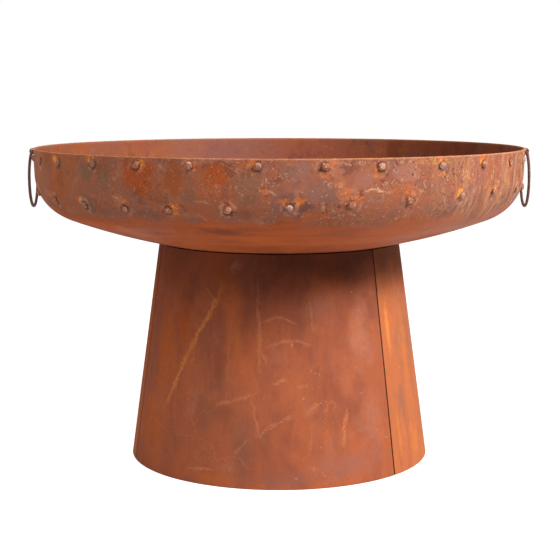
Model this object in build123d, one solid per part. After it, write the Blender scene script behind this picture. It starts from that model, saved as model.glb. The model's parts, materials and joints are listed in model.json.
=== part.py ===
from build123d import *
from math import asin, atan2, cos, degrees, radians, sin, sqrt
import os
import random

# Fire pit: a riveted steel bowl on a bolted cone base, with two ring handles and a lift-out grate.
#
# Millimetres. +Z is up, the origin is at floor level on the axis of the cone, and -Y is the front.
# An azimuth is in degrees from the front, positive towards +X. Pieces that stand round the axis are
# drawn in a working frame whose +X points outwards and are then turned to their azimuth.

# ---------------------------------------------------------------- driving dimensions

SHEET = 3.0                    # thickness of the bowl and of the base panels

# cone base
BASE_HEIGHT = 354.5
BASE_FOOT_RADIUS = 248.0       # outside, at the floor
BASE_MOUTH_RADIUS = 198.7      # outside, at the top
PANEL_COUNT = 3
FIRST_SEAM = 47.5              # azimuth
FLANGE_WIDTH = 24.0            # from the panel's outer face inwards
FLANGE_FOOT_SETBACK = 10.0     # the folded flanges stop this far above the floor
FOLD_RADIUS = 2.0              # outside of the fold, seen along each seam
SEAM_GAP = 0.8                 # between neighbouring panels, at the foot
SEAT_ROD = 8.0                 # round bar of the seat ring

# seam fasteners
BOLT_DIAMETER = 6.0
BOLT_HOLE_PLAY = 0.25          # radial
BOLT_INSET = 13.5              # from the panel's outer face to the bolt's axis
BOLT_END_DISTANCE = 62.0       # from each end of the panel to the nearest bolt
BOLTS_PER_SEAM = 3
HEX_ACROSS_FLATS = 10.0
BOLT_HEAD_HEIGHT = 4.0
NUT_HEIGHT = 5.0
THREAD_SPARE = 3.0             # thread that shows past the nut
WASHER_DIAMETER = 12.0
WASHER_THICKNESS = 1.2

# bowl
BOWL_RADIUS = 400.0            # outside, at the rim
WALL_LEAN = 2.2                # the side wall leans in on its way down
WALL_LENGTH = 42.5             # down the slope, from the rim to the knuckle
KNUCKLE_RADIUS = 75.0          # outside
DISH_RADIUS = 990.0            # outside
SHADOW_GAP = 2.0               # between the cone's mouth and the bowl
RIM_ROUND = 0.8
DRAIN_RADIUS = 5.0
REST_CLEARANCE = 0.3           # between pieces that only rest on each other

# lugs that keep the bowl on the seat ring
LUG_COUNT = 3
LUG_WIDTH = 24.0
LUG_THICKNESS = 4.0
LUG_DEPTH = 18.0               # below the dish
LUG_PLAY = 2.0                 # from the seat ring

# rivets
RIVETS_PER_ROW = 28
RIVET_HEAD_RADIUS = 6.5
RIVET_HEAD_HEIGHT = 5.5
RIVET_HEAD_EDGE = 0.8          # straight part at the foot of the head
RIVET_SHANK_RADIUS = 3.0
RIVET_HOLE_PLAY = 0.05
UPPER_ROW_DEPTH = 13.2         # mean, below the rim
UPPER_ROW_AZIMUTH = -3.5
UPPER_ROW_WANDER = 3.1         # up and down
UPPER_ROW_CROSSING = 38.0      # azimuth where the row goes down through its mean depth
UPPER_ROW_SEED = 9133
LOWER_ROW_DEPTH = 66.0
LOWER_ROW_AZIMUTH = -9.5
LOWER_ROW_WANDER = 8.2
LOWER_ROW_CROSSING = -82.0
LOWER_ROW_SEED = 14959
WANDER_WAVES = 2               # waves of the wander in one turn
HAND_SET_SCATTER = 1.8         # degrees either way, because each rivet was set by eye

# ring handles and the folded clips that hold them
HANDLE_SLOT = 7                # the rivet place, counted from the front, that each clip takes
HANDLE_AZIMUTH = 88.0          # each way from the front
RING_ROD = 5.0
RING_DIAMETER = 95.0           # outside
CLIP_DEPTH = 6.5               # from the rim down to the middle of the clip's loop
CLIP_STRAP = 1.5
CLIP_WIDTH = 10.0
CLIP_PLAY = 0.9                # all round the ring's rod
CLIP_TAIL = 20.0               # from the loop's middle down
CLIP_RIVET_DROP = 13.0         # from the loop's middle down to its rivet
CLIP_RIVET_SHANK = 2.0
CLIP_RIVET_HEAD = 4.2
CLIP_RIVET_HEIGHT = 3.0

# grate
HOOP_MARGIN = 34.0             # from the edge of the dish, inside, to the middle of the hoop's rod
HOOP_ROD = 8.0
GRATE_BAR = 6.0
GRATE_BAR_PITCH = 28.0
CROSS_BAR = 8.0
CROSS_BAR_OFFSET = 130.0       # each way from the middle
LOOP_ROD = 8.0
LOOP_WIDTH = 90.0              # between the middles of its legs
LOOP_HEIGHT = 46.0             # from the hoop's middle to the grip's middle
LOOP_BEND = 18.0

# ---------------------------------------------------------------- values that follow from them

PANEL_ANGLE = 360.0 / PANEL_COUNT
SEAM_HALF_ANGLE = degrees(asin(SEAM_GAP / 2 / BASE_FOOT_RADIUS))
CONE_ANGLE = atan2(BASE_FOOT_RADIUS - BASE_MOUTH_RADIUS, BASE_HEIGHT)
LEAN = radians(WALL_LEAN)

# The dish is a part of a sphere that clears the cone's mouth by the shadow gap.
DISH_CENTRE_Z = BASE_HEIGHT + SHADOW_GAP + sqrt(DISH_RADIUS**2 - BASE_MOUTH_RADIUS**2)
KNUCKLE_R = BOWL_RADIUS - WALL_LENGTH * sin(LEAN) - KNUCKLE_RADIUS * cos(LEAN)
KNUCKLE_Z = DISH_CENTRE_Z - sqrt((DISH_RADIUS - KNUCKLE_RADIUS) ** 2 - KNUCKLE_R**2)
WALL_FOOT_Z = KNUCKLE_Z - KNUCKLE_RADIUS * sin(LEAN)
RIM_Z = WALL_FOOT_Z + WALL_LENGTH * cos(LEAN)
DISH_EDGE_ANGLE = atan2(KNUCKLE_R, DISH_CENTRE_Z - KNUCKLE_Z)


def base_outer(z):
    """Outer radius of the cone at a height."""
    return BASE_FOOT_RADIUS + (BASE_MOUTH_RADIUS - BASE_FOOT_RADIUS) * z / BASE_HEIGHT


def seat_ring_place():
    """Radius and height of the middle of the seat ring's bar: it touches the panels inside and
    carries the dish from below."""
    reach = DISH_RADIUS + SEAT_ROD / 2 + REST_CLEARANCE
    radius = BASE_MOUTH_RADIUS - SHEET - SEAT_ROD / 2
    for _ in range(20):
        z = DISH_CENTRE_Z - sqrt(reach**2 - radius**2)
        radius = base_outer(z) - (SHEET + SEAT_ROD / 2) / cos(CONE_ANGLE)
    return radius, z


SEAT_R, SEAT_Z = seat_ring_place()
FLANGE_TOP = SEAT_Z - SEAT_ROD / 2
HOOP_RADIUS = (DISH_RADIUS - SHEET) * sin(DISH_EDGE_ANGLE) - HOOP_MARGIN   # to the middle of its rod
HOOP_Z = DISH_CENTRE_Z - sqrt((DISH_RADIUS - SHEET - HOOP_ROD / 2 - REST_CLEARANCE) ** 2 - HOOP_RADIUS**2)
BAR_Z = HOOP_Z + HOOP_ROD / 2 + GRATE_BAR / 2
CLIP_LOOP = RING_ROD / 2 + CLIP_PLAY + CLIP_STRAP   # outer radius of the clip's loop
HANDLE_AZIMUTHS = {"left": -HANDLE_AZIMUTH, "right": HANDLE_AZIMUTH}


def at(azimuth):
    """The turn that brings the working frame's +X to an azimuth."""
    return Rot(0, 0, azimuth - 90.0)


def polar(radius, angle, centre):
    """A point of the working XZ plane, by its angle from +X. Rounding puts a pole on the axis itself."""
    return (round(centre[0] + radius * cos(angle), 9), round(centre[1] + radius * sin(angle), 9))


def arc(centre, radius, start, end):
    """A circular arc between two angles in radians."""
    middle = (start + end) / 2
    return ThreePointArc(*(polar(radius, angle, centre) for angle in (start, middle, end)))


def bowl_surface(depth):
    """Radius, height and downward tilt (degrees) of the bowl's outside at a depth below the rim."""
    z = RIM_Z - depth
    if z >= WALL_FOOT_Z:
        return BOWL_RADIUS - depth * sin(LEAN) / cos(LEAN), z, WALL_LEAN
    tilt = asin((KNUCKLE_Z - z) / KNUCKLE_RADIUS)
    return KNUCKLE_R + KNUCKLE_RADIUS * cos(tilt), z, degrees(tilt)


def on_bowl(azimuth, depth):
    """The place on the bowl's outside whose +X is the surface's outward normal."""
    radius, z, tilt = bowl_surface(depth)
    return at(azimuth) * Pos(radius, 0, z) * Rot(0, tilt, 0)


def rod_along_x(radius, start, end):
    """A round bar along +X."""
    return Pos((start + end) / 2, 0, 0) * Rot(0, 90, 0) * Cylinder(radius, end - start)


def rod_along_y(radius, length):
    """A round bar along Y, centred."""
    return Rot(90, 0, 0) * Cylinder(radius, length)


# ---------------------------------------------------------------- cone base


def bolt_heights():
    """Heights of the bolts in one seam, evenly spaced between the end distances."""
    run = BASE_HEIGHT - 2 * BOLT_END_DISTANCE
    return [BOLT_END_DISTANCE + run * i / (BOLTS_PER_SEAM - 1) for i in range(BOLTS_PER_SEAM)]


def bolt_radius(z):
    """Distance of a bolt from the cone's axis."""
    return base_outer(z) - BOLT_INSET


def flange_face(z):
    """Distance from the middle of a seam to the back of its flange, where a washer bears on it."""
    outer_edge = bolt_radius(z) + WASHER_DIAMETER / 2
    return outer_edge * sin(radians(SEAM_HALF_ANGLE)) + SHEET / cos(radians(SEAM_HALF_ANGLE))


def seam_fastener_places():
    """Every bolt's frame: +X outwards and Y along the bolt. Also the height it stands at."""
    for seam in range(PANEL_COUNT):
        for z in bolt_heights():
            yield at(FIRST_SEAM + seam * PANEL_ANGLE) * Pos(bolt_radius(z), 0, z), z


def base_panel():
    """One rolled panel with a flange folded inwards along both edges, from working angle 0 on."""
    skin = Polyline(
        (BASE_FOOT_RADIUS, 0),
        (BASE_MOUTH_RADIUS, BASE_HEIGHT),
        (BASE_MOUTH_RADIUS - SHEET / cos(CONE_ANGLE), BASE_HEIGHT),
        (BASE_FOOT_RADIUS - SHEET / cos(CONE_ANGLE), 0),
        close=True,
    )
    wall = revolve(Plane.XZ * make_face(skin), Axis.Z, PANEL_ANGLE - 2 * SEAM_HALF_ANGLE)
    panel = Rot(0, 0, SEAM_HALF_ANGLE) * wall

    low, high = FLANGE_FOOT_SETBACK, FLANGE_TOP
    inside = SHEET / 2
    leaf = Polyline(
        (base_outer(low) - inside, low),
        (base_outer(high) - inside, high),
        (base_outer(high) - FLANGE_WIDTH, high),
        (base_outer(low) - FLANGE_WIDTH, low),
        close=True,
    )
    flange = Pos(0, SHEET / 2, 0) * extrude(Plane.XZ * make_face(leaf), SHEET / 2, both=True)
    panel += Rot(0, 0, SEAM_HALF_ANGLE) * flange
    panel += Rot(0, 0, PANEL_ANGLE - SEAM_HALF_ANGLE) * Pos(0, -SHEET, 0) * flange

    corners = [edge for edge in panel.edges().filter_by(GeomType.LINE) if is_outer_corner(edge)]
    panel = fillet(corners, min(FOLD_RADIUS, 0.8 * SHEET))

    hole = rod_along_y(BOLT_DIAMETER / 2 + BOLT_HOLE_PLAY, 4 * (SHEET + SEAM_GAP))
    for z in bolt_heights():
        for angle in (0, PANEL_ANGLE):
            panel -= Rot(0, 0, angle) * Pos(bolt_radius(z), 0, z) * hole
    return panel


def is_outer_corner(edge):
    """True for the long edge where a panel's outer face turns into a flange."""
    middle = edge @ 0.5
    far_out = abs(sqrt(middle.X**2 + middle.Y**2) - base_outer(middle.Z)) < 0.01
    return far_out and edge.length > BASE_HEIGHT / 2


def seat_ring():
    """Hoop of round bar inside the mouth. It lies on the flanges' ends and carries the bowl."""
    return Pos(0, 0, SEAT_Z) * Torus(SEAT_R, SEAT_ROD / 2)


def hex_prism(height):
    """A hexagon along Y, from the origin towards +Y."""
    outline = RegularPolygon(HEX_ACROSS_FLATS / 2, 6, major_radius=False)
    return Rot(-90, 0, 0) * extrude(outline, height)


def seam_bolts():
    """Hexagon-head bolts through the flanges."""
    bolts = []
    for place, z in seam_fastener_places():
        bearing = flange_face(z) + WASHER_THICKNESS
        length = 2 * bearing + NUT_HEIGHT + THREAD_SPARE
        shank = Pos(0, length / 2 - bearing, 0) * rod_along_y(BOLT_DIAMETER / 2, length)
        head = Pos(0, -bearing - BOLT_HEAD_HEIGHT, 0) * hex_prism(BOLT_HEAD_HEIGHT)
        bolts.append(place * (head + shank))
    return bolts


def seam_nuts():
    """Hexagon nuts on the bolts."""
    nut = hex_prism(NUT_HEIGHT) - rod_along_y(BOLT_DIAMETER / 2, 3 * NUT_HEIGHT)
    return [place * Pos(0, flange_face(z) + WASHER_THICKNESS, 0) * nut for place, z in seam_fastener_places()]


def seam_washers():
    """A washer under each head and each nut."""
    disc = rod_along_y(WASHER_DIAMETER / 2, WASHER_THICKNESS)
    washer = disc - rod_along_y(BOLT_DIAMETER / 2 + BOLT_HOLE_PLAY, 3 * WASHER_THICKNESS)
    washers = []
    for place, z in seam_fastener_places():
        offset = flange_face(z) + WASHER_THICKNESS / 2
        washers.append(place * Pos(0, offset, 0) * washer)
        washers.append(place * Pos(0, -offset, 0) * washer)
    return washers


# ---------------------------------------------------------------- bowl


def row_places(depth, azimuth, wander, crossing, draw):
    """Azimuth and depth of each rivet place of one row, counted from the front."""
    pitch = 360.0 / RIVETS_PER_ROW
    places = []
    for i in range(RIVETS_PER_ROW):
        turn = azimuth + i * pitch + draw.uniform(-HAND_SET_SCATTER, HAND_SET_SCATTER)
        wave = sin(radians(WANDER_WAVES * (turn - crossing)))
        places.append((turn, depth + wander * wave))
    return places


def upper_row():
    """The upper row, with two places left free for the handles' clips."""
    layout = (UPPER_ROW_DEPTH, UPPER_ROW_AZIMUTH, UPPER_ROW_WANDER, UPPER_ROW_CROSSING)
    places = row_places(*layout, random.Random(UPPER_ROW_SEED))
    taken = (HANDLE_SLOT, HANDLE_SLOT + RIVETS_PER_ROW // 2)
    return [place for i, place in enumerate(places) if i not in taken]


def lower_row():
    """The lower row, half a pitch on from the upper one."""
    layout = (LOWER_ROW_DEPTH, LOWER_ROW_AZIMUTH, LOWER_ROW_WANDER, LOWER_ROW_CROSSING)
    return row_places(*layout, random.Random(LOWER_ROW_SEED))


def clip_rivet_place(azimuth):
    """The frame of a clip's rivet on the bowl's outside."""
    return on_bowl(azimuth, CLIP_DEPTH + CLIP_RIVET_DROP * cos(LEAN))


def bowl_shell():
    """Pressed dish with its knuckle and side wall, pierced for every rivet."""
    down = -radians(90)
    dish_end = down + DISH_EDGE_ANGLE
    dish_centre = (0, DISH_CENTRE_Z)
    knuckle_centre = (KNUCKLE_R, KNUCKLE_Z)
    inner_rim = BOWL_RADIUS - SHEET / cos(LEAN)

    outside = arc(dish_centre, DISH_RADIUS, down, dish_end)
    outside += arc(knuckle_centre, KNUCKLE_RADIUS, dish_end, -LEAN)
    outside += Line(outside @ 1, (BOWL_RADIUS, RIM_Z))
    inside = arc(dish_centre, DISH_RADIUS - SHEET, down, dish_end)
    inside += arc(knuckle_centre, KNUCKLE_RADIUS - SHEET, dish_end, -LEAN)
    inside += Line(inside @ 1, (inner_rim, RIM_Z))
    section = outside + Line(outside @ 1, inside @ 1) + inside + Line(inside @ 0, outside @ 0)
    shell = revolve(Plane.XZ * make_face(section), Axis.Z)
    shell = fillet(shell.edges().group_by(Axis.Z)[-1], RIM_ROUND)

    # an eighth of a turn keeps the bore's own seam line off the directions of the bowl's surfaces
    hole = Rot(45, 0, 0) * rod_along_x(RIVET_SHANK_RADIUS + RIVET_HOLE_PLAY, -2 * SHEET, SHEET)
    clip_hole = rod_along_x(CLIP_RIVET_SHANK + RIVET_HOLE_PLAY, -2 * SHEET, SHEET)
    drain = Pos(0, 0, DISH_CENTRE_Z - DISH_RADIUS) * Cylinder(DRAIN_RADIUS, 4 * SHEET)
    cuts = [on_bowl(*place) * hole for place in upper_row() + lower_row()]
    cuts += [clip_rivet_place(azimuth) * clip_hole for azimuth in HANDLE_AZIMUTHS.values()]
    return shell - (cuts + [drain])


def domed_rivet(head_radius, head_height, edge, shank_radius, grip):
    """A rivet along +X with its head on the plane X = 0 and its shank through the grip."""
    rise = head_height - edge
    dome_radius = (head_radius**2 + rise**2) / (2 * rise)
    dome_centre = (0, head_height - dome_radius)
    dome_start = atan2(edge - dome_centre[1], head_radius)
    dome = arc(dome_centre, dome_radius, dome_start, radians(90))
    sides = Polyline(dome @ 1, (0, -grip), (shank_radius, -grip), (shank_radius, 0), (head_radius, 0), dome @ 0)
    return Rot(0, 90, 0) * revolve(Plane.XZ * make_face(dome + sides), Axis.Z)


def row_rivets(places):
    """The rivets of one row."""
    size = (RIVET_HEAD_RADIUS, RIVET_HEAD_HEIGHT, RIVET_HEAD_EDGE, RIVET_SHANK_RADIUS)
    rivet = domed_rivet(*size, grip=SHEET)
    return [on_bowl(*place) * rivet for place in places]


def ring_clip(azimuth):
    """Strap folded round a ring's rod, both its ends flat on the wall under one rivet."""
    loop_centre = Pos(CLIP_LOOP, 0, 0)
    tail_thickness = 2 * CLIP_STRAP
    tail = Pos(tail_thickness / 2, 0, -CLIP_TAIL / 2) * Box(tail_thickness, CLIP_WIDTH, CLIP_TAIL)
    clip = tail + loop_centre * rod_along_y(CLIP_LOOP, CLIP_WIDTH)
    clip -= loop_centre * rod_along_y(CLIP_LOOP - CLIP_STRAP, 2 * CLIP_WIDTH)
    rivet_hole = rod_along_x(CLIP_RIVET_SHANK + RIVET_HOLE_PLAY, -tail_thickness, 2 * tail_thickness)
    clip -= Pos(0, 0, -CLIP_RIVET_DROP) * rivet_hole
    return on_bowl(azimuth, CLIP_DEPTH) * clip


def clip_rivets():
    """One rivet through each clip and the wall."""
    tail_thickness = 2 * CLIP_STRAP
    size = (CLIP_RIVET_HEAD, CLIP_RIVET_HEIGHT, RIVET_HEAD_EDGE, CLIP_RIVET_SHANK)
    rivet = Pos(tail_thickness, 0, 0) * domed_rivet(*size, grip=tail_thickness + SHEET)
    return [clip_rivet_place(azimuth) * rivet for azimuth in HANDLE_AZIMUTHS.values()]


def locating_lugs():
    """Tabs under the dish, just inside the seat ring, midway between the seams."""
    face = SEAT_R - SEAT_ROD / 2 - LUG_PLAY
    drop = FLANGE_TOP - LUG_DEPTH
    tab = Box(LUG_THICKNESS, LUG_WIDTH, 4 * LUG_DEPTH, align=(Align.MAX, Align.CENTER, Align.MIN))
    dish = Pos(0, 0, DISH_CENTRE_Z) * Sphere(DISH_RADIUS)
    lugs = []
    for i in range(LUG_COUNT):
        azimuth = FIRST_SEAM + PANEL_ANGLE / 2 + i * 360.0 / LUG_COUNT
        lugs.append(at(azimuth) * Pos(face, 0, drop) * tab - dish)
    return lugs


# ---------------------------------------------------------------- ring handles


def ring_handle(azimuth):
    """A closed ring of round bar that hangs in its clip."""
    radius = (RING_DIAMETER - RING_ROD) / 2
    ring = Rot(0, 90, 0) * Torus(radius, RING_ROD / 2)
    wall_radius, z, tilt = bowl_surface(CLIP_DEPTH)
    out = CLIP_LOOP * cos(radians(tilt))
    down = CLIP_LOOP * sin(radians(tilt))
    return at(azimuth) * Pos(wall_radius + out, 0, z - down - radius) * ring


# ---------------------------------------------------------------- grate


def grate_hoop():
    """Outer hoop, which rests on the dish."""
    return Pos(0, 0, HOOP_Z) * Torus(HOOP_RADIUS, HOOP_ROD / 2)


def grate_bars():
    """Parallel bars welded on top of the hoop, front to back."""
    outermost = loop_leg_x() - LOOP_ROD / 2 - GRATE_BAR
    count = int(outermost / GRATE_BAR_PITCH)
    bars = []
    for i in range(-count, count + 1):
        x = i * GRATE_BAR_PITCH
        length = 2 * sqrt(HOOP_RADIUS**2 - x**2)
        bars.append(Pos(x, 0, BAR_Z) * rod_along_y(GRATE_BAR / 2, length))
    return bars


def cross_bar(y):
    """A bar under the others, fitted between the sides of the hoop."""
    half = sqrt(HOOP_RADIUS**2 - y**2)
    return Pos(0, y, BAR_Z - GRATE_BAR / 2 - CROSS_BAR / 2) * rod_along_x(CROSS_BAR / 2, -half, half) - grate_hoop()


def loop_leg_x():
    """Distance from the middle of the grate to the legs of a lifting loop."""
    return sqrt(HOOP_RADIUS**2 - (LOOP_WIDTH / 2) ** 2)


def grate_loop(side):
    """An upright lifting loop on the hoop, on the +X side or the -X side."""
    half = LOOP_WIDTH / 2
    path = FilletPolyline((-half, 0), (-half, LOOP_HEIGHT), (half, LOOP_HEIGHT), (half, 0), radius=LOOP_BEND)
    wire = Plane.YZ * path
    loop = sweep(Plane(origin=wire @ 0, z_dir=wire % 0) * Circle(LOOP_ROD / 2), wire)
    return Pos(side * loop_leg_x(), 0, HOOP_Z) * loop - grate_hoop()


# ---------------------------------------------------------------- all the pieces


def pieces():
    """Every node by name: one solid, or a list of like solids."""
    panel = base_panel()
    nodes = {}
    for i, name in enumerate(("right", "left", "front")):
        nodes[f"base_panel_{name}"] = at(FIRST_SEAM + i * PANEL_ANGLE) * panel
    nodes["seat_ring"] = seat_ring()
    nodes["seam_bolts"] = seam_bolts()
    nodes["seam_nuts"] = seam_nuts()
    nodes["seam_washers"] = seam_washers()

    nodes["bowl_shell"] = bowl_shell()
    nodes["upper_rivets"] = row_rivets(upper_row())
    nodes["lower_rivets"] = row_rivets(lower_row())
    nodes["clip_rivets"] = clip_rivets()
    nodes["locating_lugs"] = locating_lugs()
    for name, azimuth in HANDLE_AZIMUTHS.items():
        nodes[f"ring_clip_{name}"] = ring_clip(azimuth)
        nodes[f"ring_handle_{name}"] = ring_handle(azimuth)

    nodes["grate_hoop"] = grate_hoop()
    nodes["grate_bars"] = grate_bars()
    nodes["grate_cross_bar_front"] = cross_bar(-CROSS_BAR_OFFSET)
    nodes["grate_cross_bar_back"] = cross_bar(CROSS_BAR_OFFSET)
    nodes["grate_loop_left"] = grate_loop(-1)
    nodes["grate_loop_right"] = grate_loop(1)
    return nodes


os.makedirs("parts", exist_ok=True)
for node, shape in pieces().items():
    solids = [solid for item in shape for solid in item.solids()] if isinstance(shape, list) else shape.solids()
    group = Compound(solids) if len(solids) > 1 else solids[0]
    export_step(group, f"parts/{node}.step")
    print(f"{node}: {len(solids)} solid(s)")
print(f"rim height {RIM_Z:.2f}, seat ring {SEAT_R:.2f} at {SEAT_Z:.2f}, hoop at {HOOP_Z:.2f}")
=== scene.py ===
"""Looks of a riveted steel fire bowl on a panelled cone base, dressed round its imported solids.

Metres, +Z up, the floor at z = 0, -Y the front. An azimuth is an angle from the front, positive
towards +X. Each sub-assembly is a class that builds its pieces and dresses the solids that it
carries, and each finish is a small class that draws one material from shared node groups.
"""

import json
import logging
import math
import random
from collections.abc import Callable, Iterator, Mapping, Sequence
from contextlib import contextmanager
from dataclasses import dataclass, field
from enum import Enum, IntEnum

import bpy
import numpy as np
from mathutils import Matrix, Vector


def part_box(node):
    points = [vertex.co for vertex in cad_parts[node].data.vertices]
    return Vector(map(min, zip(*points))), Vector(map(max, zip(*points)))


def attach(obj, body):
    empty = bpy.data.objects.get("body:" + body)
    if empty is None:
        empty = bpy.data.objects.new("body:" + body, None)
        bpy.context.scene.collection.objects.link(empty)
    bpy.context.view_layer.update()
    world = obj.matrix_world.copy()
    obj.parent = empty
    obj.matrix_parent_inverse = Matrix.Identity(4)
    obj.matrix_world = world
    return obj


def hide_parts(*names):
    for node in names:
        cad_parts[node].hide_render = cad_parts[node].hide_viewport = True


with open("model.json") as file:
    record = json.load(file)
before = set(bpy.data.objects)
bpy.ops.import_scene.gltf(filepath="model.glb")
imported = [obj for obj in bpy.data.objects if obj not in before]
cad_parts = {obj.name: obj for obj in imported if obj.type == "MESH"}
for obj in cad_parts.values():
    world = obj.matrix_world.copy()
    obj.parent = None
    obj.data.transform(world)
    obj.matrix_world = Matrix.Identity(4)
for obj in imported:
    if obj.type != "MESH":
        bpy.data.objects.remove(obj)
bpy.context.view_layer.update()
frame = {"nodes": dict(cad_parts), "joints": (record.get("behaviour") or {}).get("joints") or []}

LOG = logging.getLogger("fire_pit")
MM = 0.001
MERGE = 0.01 * MM
SCRAPE_RELIEF = 0.3 * MM
Colour = tuple[float, float, float, float]
Span = tuple[float, float]


class Body(str, Enum):
    """The moving bodies that the new pieces ride on."""

    BOWL = "bowl"
    GRATE = "grate"
    RING_LEFT = "ring_left"
    RING_RIGHT = "ring_right"


class Slot(str, Enum):
    """The record's material slots, passed along with the new pieces."""

    BOWL = "rusted_bowl"
    RIVET = "rusted_rivet"
    IRON = "dark_iron"
    GRATE = "burnt_grate"


# ------------------------------------------------------------------ modelling by operators


def deselect_all() -> None:
    """Leave every object unselected, so that an operator acts only on what is chosen next."""
    bpy.ops.object.select_all(action="DESELECT")


def choose(obj: bpy.types.Object) -> None:
    """Select one object alone and make it the active one.

    Args:
        obj: The object that the next operators act on.
    """
    deselect_all()
    obj.select_set(True)
    bpy.context.view_layer.objects.active = obj


@contextmanager
def editing(obj: bpy.types.Object) -> Iterator[bpy.types.Mesh]:
    """Edit mode on one object, left again at the end of the block.

    Args:
        obj: The mesh object to edit.

    Yields:
        Its mesh.
    """
    choose(obj)
    bpy.ops.object.mode_set(mode="EDIT")
    try:
        yield obj.data
    finally:
        bpy.ops.object.mode_set(mode="OBJECT")


def select_vertices(obj: bpy.types.Object, wanted: Callable[[Vector], bool]) -> None:
    """Select the vertices whose place passes a test, from object mode.

    Args:
        obj: The mesh object.
        wanted: The test of a vertex's place.
    """
    mesh = obj.data
    mesh.polygons.foreach_set("select", [False] * len(mesh.polygons))
    mesh.edges.foreach_set("select", [False] * len(mesh.edges))
    mesh.vertices.foreach_set("select", [wanted(vertex.co) for vertex in mesh.vertices])


def select_faces(obj: bpy.types.Object, wanted: Callable[[bpy.types.MeshPolygon], bool]) -> None:
    """Select the faces that pass a test, from object mode.

    Args:
        obj: The mesh object.
        wanted: The test of a face.
    """
    mesh = obj.data
    mesh.vertices.foreach_set("select", [False] * len(mesh.vertices))
    mesh.edges.foreach_set("select", [False] * len(mesh.edges))
    mesh.polygons.foreach_set("select", [wanted(face) for face in mesh.polygons])


def apply_modifier(obj: bpy.types.Object, kind: str, **settings: object) -> None:
    """Add a modifier and apply it at once.

    Args:
        obj: The object to change.
        kind: The modifier's type.
        **settings: Its settings by name.
    """
    choose(obj)
    modifier = obj.modifiers.new(kind.title(), kind)
    for name, value in settings.items():
        setattr(modifier, name, value)
    bpy.ops.object.modifier_apply(modifier=modifier.name)


def face_outwards(obj: bpy.types.Object) -> None:
    """Merge doubles and turn every face of a closed piece outwards.

    Args:
        obj: The closed mesh object.
    """
    with editing(obj):
        bpy.ops.mesh.select_all(action="SELECT")
        bpy.ops.mesh.remove_doubles(threshold=MERGE)
        bpy.ops.mesh.normals_make_consistent(inside=False)


def smooth(obj: bpy.types.Object, angle: float) -> None:
    """Shade smooth up to an angle in degrees between faces."""
    choose(obj)
    bpy.ops.object.shade_smooth_by_angle(angle=math.radians(angle))


def settle(obj: bpy.types.Object, place: Matrix | None = None) -> None:
    """Put a piece's place into its mesh, so that its object stands unturned at the origin.

    Args:
        obj: The mesh object.
        place: Where the mesh goes. Without it, the object's own place is used.
    """
    obj.data.transform(place if place is not None else obj.matrix_basis)
    obj.matrix_basis = Matrix.Identity(4)
    obj.data.update()


def copy_at(model: bpy.types.Object, place: Matrix) -> bpy.types.Object:
    """A copy of a model with its own mesh, put at a place.

    Args:
        model: The object to copy.
        place: The copy's place.

    Returns:
        The copy.
    """
    twin = model.copy()
    twin.data = model.data.copy()
    bpy.context.collection.objects.link(twin)
    settle(twin, place)
    return twin


def join(parts: Sequence[bpy.types.Object], name: str) -> bpy.types.Object:
    """Join objects into one piece.

    Args:
        parts: The objects, of which the first one stays.
        name: The piece's name.

    Returns:
        The piece.
    """
    choose(parts[0])
    for part in parts:
        part.select_set(True)
    if len(parts) > 1:
        bpy.ops.object.join()
    piece = bpy.context.view_layer.objects.active
    piece.name = piece.data.name = name
    return piece


def remove(*objects: bpy.types.Object) -> None:
    """Delete models that were only there to be copied."""
    for obj in objects:
        bpy.data.objects.remove(obj, do_unlink=True)


def noise_texture(name: str, size: float, depth: int = 2) -> bpy.types.Texture:
    """A cloud texture for the displace modifier.

    Args:
        name: The texture's name.
        size: Size of its clouds.
        depth: Layers of finer detail.

    Returns:
        The texture.
    """
    texture = bpy.data.textures.new(name, "CLOUDS")
    texture.noise_scale = size
    texture.noise_depth = depth
    return texture


def dent(model: bpy.types.Object, texture: bpy.types.Texture, depth: float, level: float,
         aside: Sequence[float] = (0.0, 0.0, 0.0), enlarged: float = 100.0) -> None:
    """Make a small model lumpy by a cloud texture that is read at many times its size.

    Args:
        model: The model, at the origin.
        texture: The clouds.
        depth: How deep the dents can go.
        level: The clouds' value that leaves the surface where it is.
        aside: Where in the clouds the model is held.
        enlarged: How many times its size it has there.
    """
    held = Matrix.Translation(aside) @ Matrix.Scale(enlarged, 4)
    model.data.transform(held)
    apply_modifier(model, "DISPLACE", texture=texture, texture_coords="LOCAL", strength=depth * enlarged,
                   mid_level=level)
    model.data.transform(held.inverted())


def turned_to(azimuth: float) -> Matrix:
    """The turn about +Z that brings +X to an azimuth in radians."""
    return Matrix.Rotation(azimuth - math.pi / 2, 4, "Z")


def azimuth_of(point: Vector) -> float:
    """The azimuth of a point, in radians."""
    return math.atan2(point.x, -point.y)


def solids_of(node: str, reach: float) -> list[np.ndarray]:
    """The vertices of each separate solid of a node, where the solids stand well apart.

    Args:
        node: The node's name.
        reach: More than a solid's size and less than the distance between two of them.

    Returns:
        One array of vertices for each solid, in order of azimuth.
    """
    left = np.array([vertex.co for vertex in frame["nodes"][node].data.vertices], float)
    groups = []
    while len(left):
        near = np.linalg.norm(left - left[0], axis=1) < reach
        groups.append(left[near])
        left = left[~near]
    return sorted(groups, key=lambda group: azimuth_of(Vector(group.mean(axis=0))))


def middle_of(points: np.ndarray) -> Vector:
    """The middle of the box round some points."""
    return Vector((points.min(axis=0) + points.max(axis=0)) / 2)


# ------------------------------------------------------------------ drawing node trees

Feed = bpy.types.NodeSocket | float | tuple


def tint(hex_code: str) -> Colour:
    """The shader's linear colour for a colour written as six hex digits.

    Args:
        hex_code: The colour, without a hash sign.

    Returns:
        Red, green and blue as linear light, and full alpha.
    """
    parts = (int(hex_code[i : i + 2], 16) / 255 for i in (0, 2, 4))
    linear = (part / 12.92 if part <= 0.04045 else ((part + 0.055) / 1.055) ** 2.4 for part in parts)
    return (*linear, 1.0)


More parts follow.
